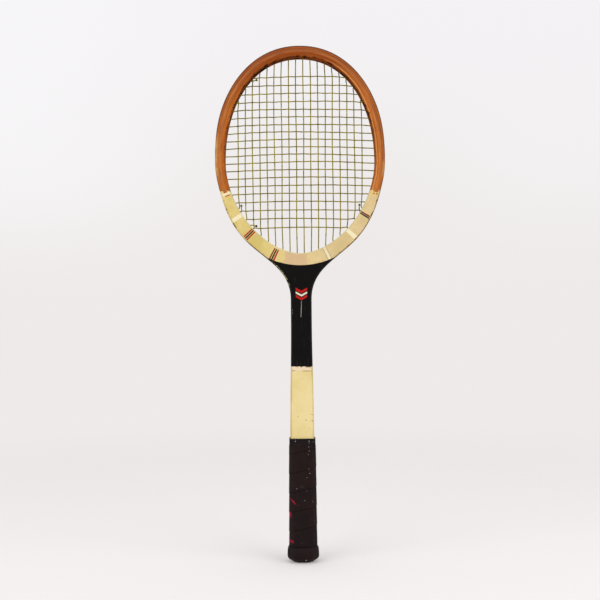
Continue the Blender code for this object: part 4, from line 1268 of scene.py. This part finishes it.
def cross_mouths(number):
    """Where a cross leaves the bed, left and right."""
    x = OPENING_HALF_WIDTH
    for _ in range(30):
        turn = turn_at_z(cross_z(number, x))
        x = opening_point(turn)[0]
    return mouth_at(turn, -1), mouth_at(turn, 1)


CROSS_REACH = {n: cross_mouths(n)[1].point[0] - WEAVE_MARGIN for n in range(1, CROSS_COUNT + 1)}


def weave_side(cross, main):
    """1 where the cross passes behind this main, -1 in front of it."""
    return (-1) ** (cross + main)


def waved(stops, amplitude, signs):
    """Points on a smooth wave through a list of crossings, each a point in X and Z."""
    points = []
    for k in range(len(stops) - 1):
        (x0, z0), (x1, z1) = stops[k], stops[k + 1]
        for step in range(WAVE_STEPS):
            t = step / WAVE_STEPS
            depth = amplitude * (signs[k] + (signs[k + 1] - signs[k]) * eased(t, 0, 1))
            points.append((x0 + (x1 - x0) * t, depth, z0 + (z1 - z0) * t))
    points.append((stops[-1][0], amplitude * signs[-1], stops[-1][1]))
    return points


def main_bed(number):
    x = main_x(number)
    crosses = [n for n in range(CROSS_COUNT, 0, -1) if abs(x) < CROSS_REACH[n]]
    stops = [(x + stray(number, cross_z(n, x), 0.4), cross_z(n, x) + stray(n, x, 2.0)) for n in crosses]
    return waved(stops, MAIN_WAVE, [-weave_side(n, number) for n in crosses])


def cross_bed(number):
    mains = [n for n in range(1, MAIN_COUNT + 1) if abs(main_x(n)) < CROSS_REACH[number]]
    stops = [(main_x(n), cross_z(number, main_x(n)) + stray(number, main_x(n), 2.0)) for n in mains]
    return waved(stops, CROSS_WAVE, [weave_side(number, n) for n in mains])


def exit_on(path, mouth):
    """Where the hole of this mouth meets a path, or None."""
    found = []
    for index, (a, b) in enumerate(zip(path, path[1:])):
        met = crossing(mouth, a, b)
        if met is not None and met[0] > 0 and 0 <= met[1] <= 1:
            found.append((met[0], index + met[1]))
    if not found:
        return None
    reach, at = min(found)
    return Exit(path, mouth.point + mouth.normal * reach, at)


def exits_of(first, second):
    """Where two holes that share a loop come out: both in the recess under the crown, or in the groove."""
    recess = exit_on(RECESS_PATH, first), exit_on(RECESS_PATH, second)
    if None not in recess:
        return recess
    return exit_on(LOOP_PATH, first), exit_on(LOOP_PATH, second)


def loop_between(first, second, lane):
    low, high = sorted((first.at, second.at))
    inner = [
        first.path[k]
        for k in range(math.ceil(low), math.floor(high) + 1)
        if min(np.linalg.norm(first.path[k] - end.point) for end in (first, second)) > 2 * STRING_RADIUS
    ]
    if first.at > second.at:
        inner.reverse()
    return [(x, lane, z) for x, z in [first.point, *inner, second.point]]


def entry(mouth, lane):
    x, z = mouth.point - mouth.normal * STRING_ENTRY
    return (x, lane, z)


def tie_off(mouth, bed_end, step, lane):
    """The string's end beyond its last mouth: out, along the groove, back in beside it, and to its knot."""
    back = beside(mouth, step)
    out, again = exits_of(mouth, back)
    start, arrival = Vector(entry(mouth, lane)), Vector(entry(back, lane))
    along = Vector((bed_end[0] - start.x, 0, bed_end[2] - start.z)).normalized()
    aside = arrival - start - along * along.dot(arrival - start)
    away = STRING_RADIUS + STRING_CLEARANCE + KNOT_RADIUS
    centre = start + along * KNOT_INSET + aside.normalized() * away
    tail = centre + (arrival - centre).normalized() * KNOT_RADIUS * 0.7
    return loop_between(out, again, lane) + [tuple(arrival), tuple(tail)], (back, again), centre


def string_route(runs, steps, lane):
    """Points of a whole string, its holes as (mouth, exit), and the centres of its two knots."""
    start, first_hole, first_knot = tie_off(runs[0].start, runs[0].bed[0], steps[0], lane)
    end, last_hole, last_knot = tie_off(runs[-1].end, runs[-1].bed[-1], steps[1], lane)
    route, holes = start[::-1], [first_hole, last_hole]
    for run, following in zip(runs, runs[1:] + [None]):
        route += [entry(run.start, lane), *run.bed, entry(run.end, lane)]
        if following:
            out, again = exits_of(run.end, following.start)
            route += loop_between(out, again, lane)
            holes += [(run.end, out), (following.start, again)]
    for mouth in (runs[0].start, runs[-1].end):
        holes.append((mouth, exit_on(LOOP_PATH, mouth)))
    return route + end, holes, (first_knot, last_knot)


def to_and_fro(count, mouths, bed):
    """A string's runs, every second one the other way round."""
    runs = []
    for number in range(1, count + 1):
        (one, two), laid = mouths(number), bed(number)
        runs.append(Run(one, laid, two) if number % 2 else Run(two, laid[::-1], one))
    return runs


# Knots: which way the trefoil faces, its size, its mean radius and its lobes as shares of the size
KNOT_AXIS = (0.3, 0.9, 0.3)
KNOT_STEPS = 48
KNOT_SIZE = 0.62 * MM
KNOT_MEAN = 1.35
KNOT_LOBE = 0.62
KNOT_STRING_RADIUS = 0.56 * MM


def make_knot(name, centre, material, node):
    """A pulled overhand knot: a trefoil of string."""
    lean = Vector((0, 0, 1)).rotation_difference(Vector(KNOT_AXIS)).to_matrix()
    points = []
    for k in range(KNOT_STEPS + 1):
        t = 2 * math.pi * k / KNOT_STEPS
        radius = (KNOT_MEAN + KNOT_LOBE * math.cos(3 * t)) * KNOT_SIZE
        local = Vector((radius * math.cos(2 * t), radius * math.sin(2 * t), KNOT_SIZE * math.sin(3 * t)))
        points.append(np.array(Vector(centre) + lean @ local))
    show_for(tube(name, np.array(points), KNOT_STRING_RADIUS, material), node)


def make_strings(material, dark_end):
    """Both strings and their knots. Returns the holes of each lane."""
    mains = to_and_fro(MAIN_COUNT, main_mouths, main_bed)
    crosses = to_and_fro(CROSS_COUNT, cross_mouths, cross_bed)
    laid = (
        ("main", mains, (TIE_OFF_STEP, TIE_OFF_STEP), LANE, (("left", material), ("right", material))),
        ("cross", crosses, (TIE_OFF_STEP, -TIE_OFF_STEP), -LANE, (("top", material), ("low", dark_end))),
    )
    drilled = []
    for name, runs, steps, lane, ends in laid:
        route, holes, knots = string_route(runs, steps, lane)
        path = eased_path(route, STRING_BEND)
        show_for(tube(name + "_gut", path, GUT_RADIUS, material), name + "_string")
        for (end, look), centre in zip(ends, knots):
            make_knot(f"{name}_{end}_knot", centre, look, f"{name}_knot_{end}")
        drilled.append((lane, holes))
    return drilled


def drill_holes(lanes, material, *woods):
    """Round holes for the strings through the plies, each along the normal of the opening's edge."""
    mesh = bmesh.new()
    for lane, holes in lanes:
        for mouth, way_out in holes:
            start = mouth.point - mouth.normal * HOLE_LEAD
            reach = np.linalg.norm(way_out.point - start) + GROOVE_DEPTH * 2
            middle = start + mouth.normal * reach / 2
            axis = Vector((mouth.normal[0], 0, mouth.normal[1]))
            turn = Matrix((axis.cross(Vector((0, 1, 0))), Vector((0, 1, 0)), axis)).transposed().to_4x4()
            bmesh.ops.create_cone(
                mesh,
                cap_ends=True,
                segments=12,
                radius1=HOLE_RADIUS,
                radius2=HOLE_RADIUS,
                depth=reach,
                matrix=Matrix.Translation((middle[0], lane, middle[1])) @ turn,
            )
    drill = add_mesh("string_drill", mesh, material)
    for wood in woods:
        modifier = wood.modifiers.new("string holes", "BOOLEAN")
        modifier.operation = "DIFFERENCE"
        modifier.solver = "EXACT"
        modifier.object = drill
        bpy.context.view_layer.update()
        graph = bpy.context.evaluated_depsgraph_get()
        drilled = bpy.data.meshes.new_from_object(wood.evaluated_get(graph))
        wood.modifiers.clear()
        wood.data = drilled
    bpy.data.objects.remove(drill, do_unlink=True)


# Handle

GRIP_LOW_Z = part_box("leather_grip")[0][2]
GRIP_TOP_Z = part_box("leather_grip")[1][2]
COLLAR_LOW_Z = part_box("grip_collar")[0][2]
COLLAR_TOP_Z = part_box("grip_collar")[1][2]
STRAP_PITCH = 25.6 * MM
STRAP_SEAM = 0.3 * MM
STRAP_TIP = 1.5 * MM
STRAP_EDGE = 0.55 * MM
STRAP_TILT = 0.35 * MM
LEATHER = 1.6 * MM
LEATHER_GAP = 0.3 * MM
LEATHER_CORNER = 3.2 * MM
UNDERLAY = 0.2 * MM
UNDERLAY_LAP = 3.0 * MM
INNER_SEAT = 0.02 * MM
GRIP_SWELL = 0.8 * MM
COLLAR_THICKNESS = 1.2 * MM
COLLAR_ROUND = 0.5 * MM
COLLAR_CORNER = 2.2 * MM
COLLAR_SEAT = 0.05 * MM
COLLAR_TOP_RISE = 0.35 * MM
COLLAR_TOP_BEVEL = 1.0 * MM


def octagon(half_width, half_depth, bevel, grown=0.0):
    """Corners of the handle's section, anticlockwise seen from below, grown outwards on every side."""
    w, d = half_width + grown, half_depth + grown
    b = bevel + grown * (2 - math.sqrt(2))
    right = [(w - b, -d), (w, b - d), (w, d - b), (w - b, d)]
    return right + [(-x, y) for x, y in reversed(right)]


def handle_loop(grown):
    """The handle's outline grown outwards, with rounded corners, starting as the CAD strap does."""
    return rounded(octagon(HANDLE_HALF_WIDTH, HANDLE_HALF_DEPTH, HANDLE_BEVEL, grown), LEATHER_CORNER, 5)


def closed_run(loop):
    return run_of(np.vstack([loop, loop[:1]]))


def level_row(loop, z):
    """A row of points at one height, with its grain."""
    return [(x, y, z) for x, y in loop], [(run, z) for run in closed_run(loop)[:-1]]


def grip_swell(z):
    """How much fuller the grip is towards the butt."""
    return GRIP_SWELL * (GRIP_TOP_Z - z) / (GRIP_TOP_Z - GRIP_LOW_Z)


def make_underlay(material):
    """The tacky cloth between the wood and the leather, which runs down into the butt cap."""
    bottom = GRIP_LOW_Z - UNDERLAY_LAP
    swollen = UNDERLAY + grip_swell(bottom)
    ends = ((INNER_SEAT, bottom), (swollen, bottom), (UNDERLAY, GRIP_TOP_Z), (INNER_SEAT, GRIP_TOP_Z))
    levels = [level_row(handle_loop(grown), z) for grown, z in ends]
    show_for(loft("grip_underlay", *zip(*levels), material, closed=True))


def strap_section(low, high):
    """The strap's section as (outwards, height): its lower edge stands out a little over the turn below."""
    lean = STRAP_TILT * min(1.0, (high - low) / STRAP_PITCH)
    e = min(STRAP_EDGE, (high - low) * 0.3)
    corners = [(0, low), (LEATHER + lean, low), (LEATHER, high), (0, high)]
    middle = [(LEATHER + lean * (1 - t), low + (high - low) * t) for t in (0.25, 0.5, 0.75)]
    soft = rounded(corners, e, 4)
    split = 10
    return np.vstack([soft[:split], middle, soft[split:]])


def make_strap(material):
    """One leather strap wound up the handle, trimmed level at both ends."""
    loop = handle_loop(LEATHER_GAP)
    outwards = right_hand(np.roll(loop, -1, axis=0) - np.roll(loop, 1, axis=0))
    run = closed_run(loop)
    round_once = run[-1]
    width = STRAP_PITCH - STRAP_SEAM
    rows, grain = [], []
    turns = math.ceil((GRIP_TOP_Z - GRIP_LOW_Z + width) / STRAP_PITCH)
    for step in range(len(loop) * (turns + 1)):
        corner = step % len(loop)
        wound = run[corner] + round_once * (step // len(loop))
        middle = GRIP_LOW_Z - width / 2 + STRAP_PITCH * wound / round_once
        low, high = max(GRIP_LOW_Z, middle - width / 2), min(GRIP_TOP_Z, middle + width / 2)
        if high < GRIP_LOW_Z + STRAP_TIP or low > GRIP_TOP_Z - STRAP_TIP:
            continue
        section = strap_section(low, high)
        (x, y), (nx, ny) = loop[corner], outwards[corner]
        swollen = [(out + grip_swell(z), z) for out, z in section]
        rows.append([(x + nx * out, y + ny * out, z) for out, z in swollen])
        grain.append([(wound, z - middle + out) for out, z in section])
    show_for(loft("leather_strap", rows, grain, material, sharp=50), "leather_grip")


def make_collar(material):
    """The moulded band over the strap's top end, tapered in to the shaft."""
    low, high = COLLAR_LOW_Z, COLLAR_TOP_Z
    outside = COLLAR_THICKNESS + LEATHER_GAP
    corners = [(COLLAR_SEAT, low), (outside, low), (outside, high), (COLLAR_SEAT, high)]
    levels = []
    for out, z in rounded(corners, COLLAR_ROUND, 4):
        share = (z - low) / (high - low)
        depth = HANDLE_HALF_DEPTH + (HALF_DEPTH + COLLAR_TOP_RISE - HANDLE_HALF_DEPTH) * share
        bevel = HANDLE_BEVEL + (COLLAR_TOP_BEVEL - HANDLE_BEVEL) * share
        levels.append(level_row(rounded(octagon(HANDLE_HALF_WIDTH, depth, bevel, out), COLLAR_CORNER, 5), z))
    show_for(loft("collar_band", *zip(*levels), material, closed=True, sharp=60), "grip_collar")


BUTT_HALF_WIDTH = 21.0 * MM
BUTT_HALF_DEPTH = 18.2 * MM
BUTT_BEVEL = 8.4 * MM
BUTT_CORNER = 3.4 * MM
BUTT_FOOT_CORNER = 7.0 * MM
BUTT_FOOT_RISE = 11.0 * MM
# Shape of the butt cap from its end face up: height, how far it is drawn in, and how much the bevels shrink
BUTT_PROFILE = (
    (0.0, 11.0, 3.4),
    (0.05, 8.9, 2.7),
    (0.5, 7.8, 2.3),
    (1.7, 6.3, 1.8),
    (3.2, 4.5, 1.2),
    (4.6, 2.7, 0.7),
    (6.0, 1.3, 0.3),
    (7.6, 0.4, 0.1),
    (9.6, 0.0, 0.0),
    (14.2, 0.0, 0.0),
    (16.6, 0.25, 0.0),
    (18.2, 0.9, 0.0),
    (19.4, 1.5, 0.0),
    (20.4, 1.9, 0.0),
    (21.3, 2.2, 0.0),
    (21.9, 2.6, 0.0),
    (22.1, 3.4, 0.0),
)


def make_butt(material):
    """The flared end cap, closed below and turned in on the leather above."""
    levels = []
    for z, drawn, shrunk in BUTT_PROFILE:
        w, d = BUTT_HALF_WIDTH - drawn * MM, BUTT_HALF_DEPTH - drawn * MM
        corner = BUTT_FOOT_CORNER + (BUTT_CORNER - BUTT_FOOT_CORNER) * min(1.0, z * MM / BUTT_FOOT_RISE)
        levels.append(level_row(rounded(octagon(w, d, BUTT_BEVEL - shrunk * MM), corner, 6), z * MM))
    show_for(loft("butt_cover", *zip(*levels), material, sharp=60), "butt_cap")


# Tacks: distance of the foot from the middle and its height, slope of the butt there, and the dome
TACK_FOOT = (15.6 * MM, 4.5 * MM)
TACK_SLOPE = (0.745, -0.667)
TACK_RADIUS = 1.3 * MM
TACK_RISE = 0.75 * MM
TACK_TOP_ANGLE = math.radians(86.4)
TACK_SIDES = 24


def make_tack(name, side, material, node):
    """A domed tack on the butt's lower slope."""
    low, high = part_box(node)
    outwards = Vector((0, side * TACK_SLOPE[0], TACK_SLOPE[1])).normalized()
    turn = Vector((0, 0, 1)).rotation_difference(outwards).to_matrix()
    foot = Vector(((low[0] + high[0]) / 2, side * TACK_FOOT[0], TACK_FOOT[1]))
    angles = np.linspace(0, 2 * math.pi, TACK_SIDES + 1)[:-1]
    rows, grain = [], []
    for share in np.linspace(0, 1, 6):
        angle = share * TACK_TOP_ANGLE
        radius, rise = TACK_RADIUS * math.cos(angle), TACK_RISE * math.sin(angle)
        loop = [Vector((radius * math.cos(t), radius * math.sin(t), rise)) for t in angles]
        rows.append([tuple(foot + turn @ p) for p in loop])
        grain.append([(t, rise) for t in range(TACK_SIDES)])
    show_for(loft(name, rows, grain, material, sharp=60), node)


def dress_handle():
    make_underlay(make_leather("underlay", tint(14, 11, 11), tint(28, 20, 20), 0.7))
    make_strap(make_strap_leather())
    make_collar(make_collar_leather())
    make_butt(make_leather("butt leather", tint(28, 19, 20), tint(60, 34, 32), 0.72))
    brass = make_brass()
    make_tack("tack_front", -1, brass, "butt_tack_front")
    make_tack("tack_back", 1, brass, "butt_tack_back")


# Studio


CAMERA_HEIGHT = 349.1 * MM
CAMERA_DISTANCE = 1400 * MM
CAMERA_ASIDE = -1.6 * MM
CAMERA_ROLL = math.radians(0.49)
CAMERA_LENS = 62.8
CAMERA_SENSOR = 36
FLOOR_RADIUS = 30.0
# Distances from the racket between which the lit paper turns into the horizon's colour
FLOOR_LIT_TO = 0.6
FLOOR_FAR_FROM = 1.6
FLOOR_GLOW = 0.13
HORIZON = tint(238, 234, 233)
PAPER = tint(247, 243, 243)
LAMP_PLACES = {"left lamp": (-1.5, -1.6, 1.5), "right lamp": (1.6, -1.4, 1.4)}
LAMP_AIM = (0, 0, 0.45)
LAMP_POWER = 14.8
LAMP_SIZE = 1.8
WORLD_LIGHT = 0.645


def make_paper():
    """Pale paper that takes light and shadow near the racket and has the horizon's plain colour far off."""
    look = Look("studio paper", 0.9, gloss=0.0)
    grain = look.cloud(400)
    material = look.finish(PAPER, look.between(grain, 0.88, 0.92), look.bump(grain, 0.01 * MM))
    seen = look.seen()
    look.put(look.shader.inputs["Emission Color"], PAPER)
    look.put(look.shader.inputs["Emission Strength"], look.share(seen, FLOOR_GLOW))
    away = look.node("VectorMath", {0: look.place()}, operation="LENGTH").outputs["Value"]
    far = look.node("Emission", {"Color": HORIZON, "Strength": 1.0}).outputs[0]
    look.surface(look.both(look.step(away, FLOOR_LIT_TO, FLOOR_FAR_FROM), seen), look.shader.outputs[0], far)
    return material


def make_floor():
    mesh = bmesh.new()
    bmesh.ops.create_circle(mesh, cap_ends=True, segments=64, radius=FLOOR_RADIUS)
    add_mesh("studio floor", mesh, make_paper())


def add_lamp(name, place):
    data = bpy.data.lights.new(name, "AREA")
    data.shape = "SQUARE"
    data.size = LAMP_SIZE
    data.energy = LAMP_POWER
    lamp = add_object(name, data)
    lamp.location = place
    lamp.rotation_euler = (Vector(LAMP_AIM) - Vector(place)).to_track_quat("-Z", "Y").to_euler()


def make_world():
    """Even light on things. What the camera sees is pale, a little paler up high and at the sides, and palest
    up on the left: the darker middle is painted shadow of the racket, the paler left painted light of a lamp.
    """
    world = bpy.data.worlds.new("studio")
    bpy.context.scene.world = world
    world.use_nodes = True
    look = Nodes(world.node_tree)
    x, _, z = look.parts(look.node("TexCoord", {}).outputs["Generated"])
    risen = look.step(z, 0.0, 0.15)
    # Painted shadow: straight behind the racket the background stays at the darker horizon colour
    aside = look.step(look.math("ABSOLUTE", x), 0.05, 0.25)
    # Painted light: paler to the upper left, as from the left lamp
    left = look.share(look.step(x, 0.0, -0.28), 0.5)
    colour = look.mix(look.both(aside, risen), HORIZON, tint(242, 240, 240))
    colour = look.mix(look.step(z, 0.05, 0.28), colour, tint(244, 242, 244))
    colour = look.mix(look.both(left, risen), colour, tint(250, 249, 251))
    light = look.node("Background", {"Color": (1, 1, 1, 1), "Strength": WORLD_LIGHT}).outputs[0]
    backdrop = look.node("Background", {"Color": colour, "Strength": 1.0}).outputs[0]
    look.surface(look.seen(), light, backdrop)


def light_studio():
    """Two soft lamps and the world."""
    for name, place in LAMP_PLACES.items():
        add_lamp(name, place)
    make_world()


def set_camera():
    data = bpy.data.cameras.new("camera")
    data.lens = CAMERA_LENS
    data.sensor_width = CAMERA_SENSOR
    camera = add_object("camera", data)
    facing = Matrix.Rotation(math.pi / 2, 4, "X") @ Matrix.Rotation(-CAMERA_ROLL, 4, "Z")
    camera.matrix_world = Matrix.Translation((CAMERA_ASIDE, -CAMERA_DISTANCE, CAMERA_HEIGHT)) @ facing
    bpy.context.scene.camera = camera


def paint_node(name, material):
    """Gives a CAD node that stays in view a procedural material."""
    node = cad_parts[name]
    node.data.materials.clear()
    node.data.materials.append(material)


INSIDE_NODES = (
    "crown_bridge",
    "shoulder_wedge_left",
    "shoulder_wedge_right",
    "throat_wedge",
    "shaft_core",
    "pallet_front",
    "pallet_back",
)


def dress_wood():
    """The plies, the facings and the wood inside. Returns the plies."""
    outer, core = make_outer_ply(make_bow_paint()), make_core_ply(make_core_wood())
    inner = make_inner_ply(make_inner_wood())
    throats = make_throat_paint(True), make_throat_paint(False)
    make_facings(make_shoulder_paint(), throats, make_shaft_paint())
    inside = make_plain_wood("inside wood", tint(190, 150, 100), tint(160, 120, 76), tint(210, 172, 124))
    for name in INSIDE_NODES:
        paint_node(name, inside)
    return outer, core, inner


def main():
    bpy.context.scene.view_settings.view_transform = "Standard"
    plies = dress_wood()
    lanes = make_strings(make_string_look(), make_knot_look())
    # The hole walls' dark wood is painted shade inside the holes, with dirty end grain
    walls = make_plain_wood("hole walls", tint(58, 28, 16), tint(40, 20, 12), tint(74, 38, 20))
    drill_holes(lanes, walls, *plies)
    dress_handle()
    make_floor()
    light_studio()
    set_camera()
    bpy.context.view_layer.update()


main()
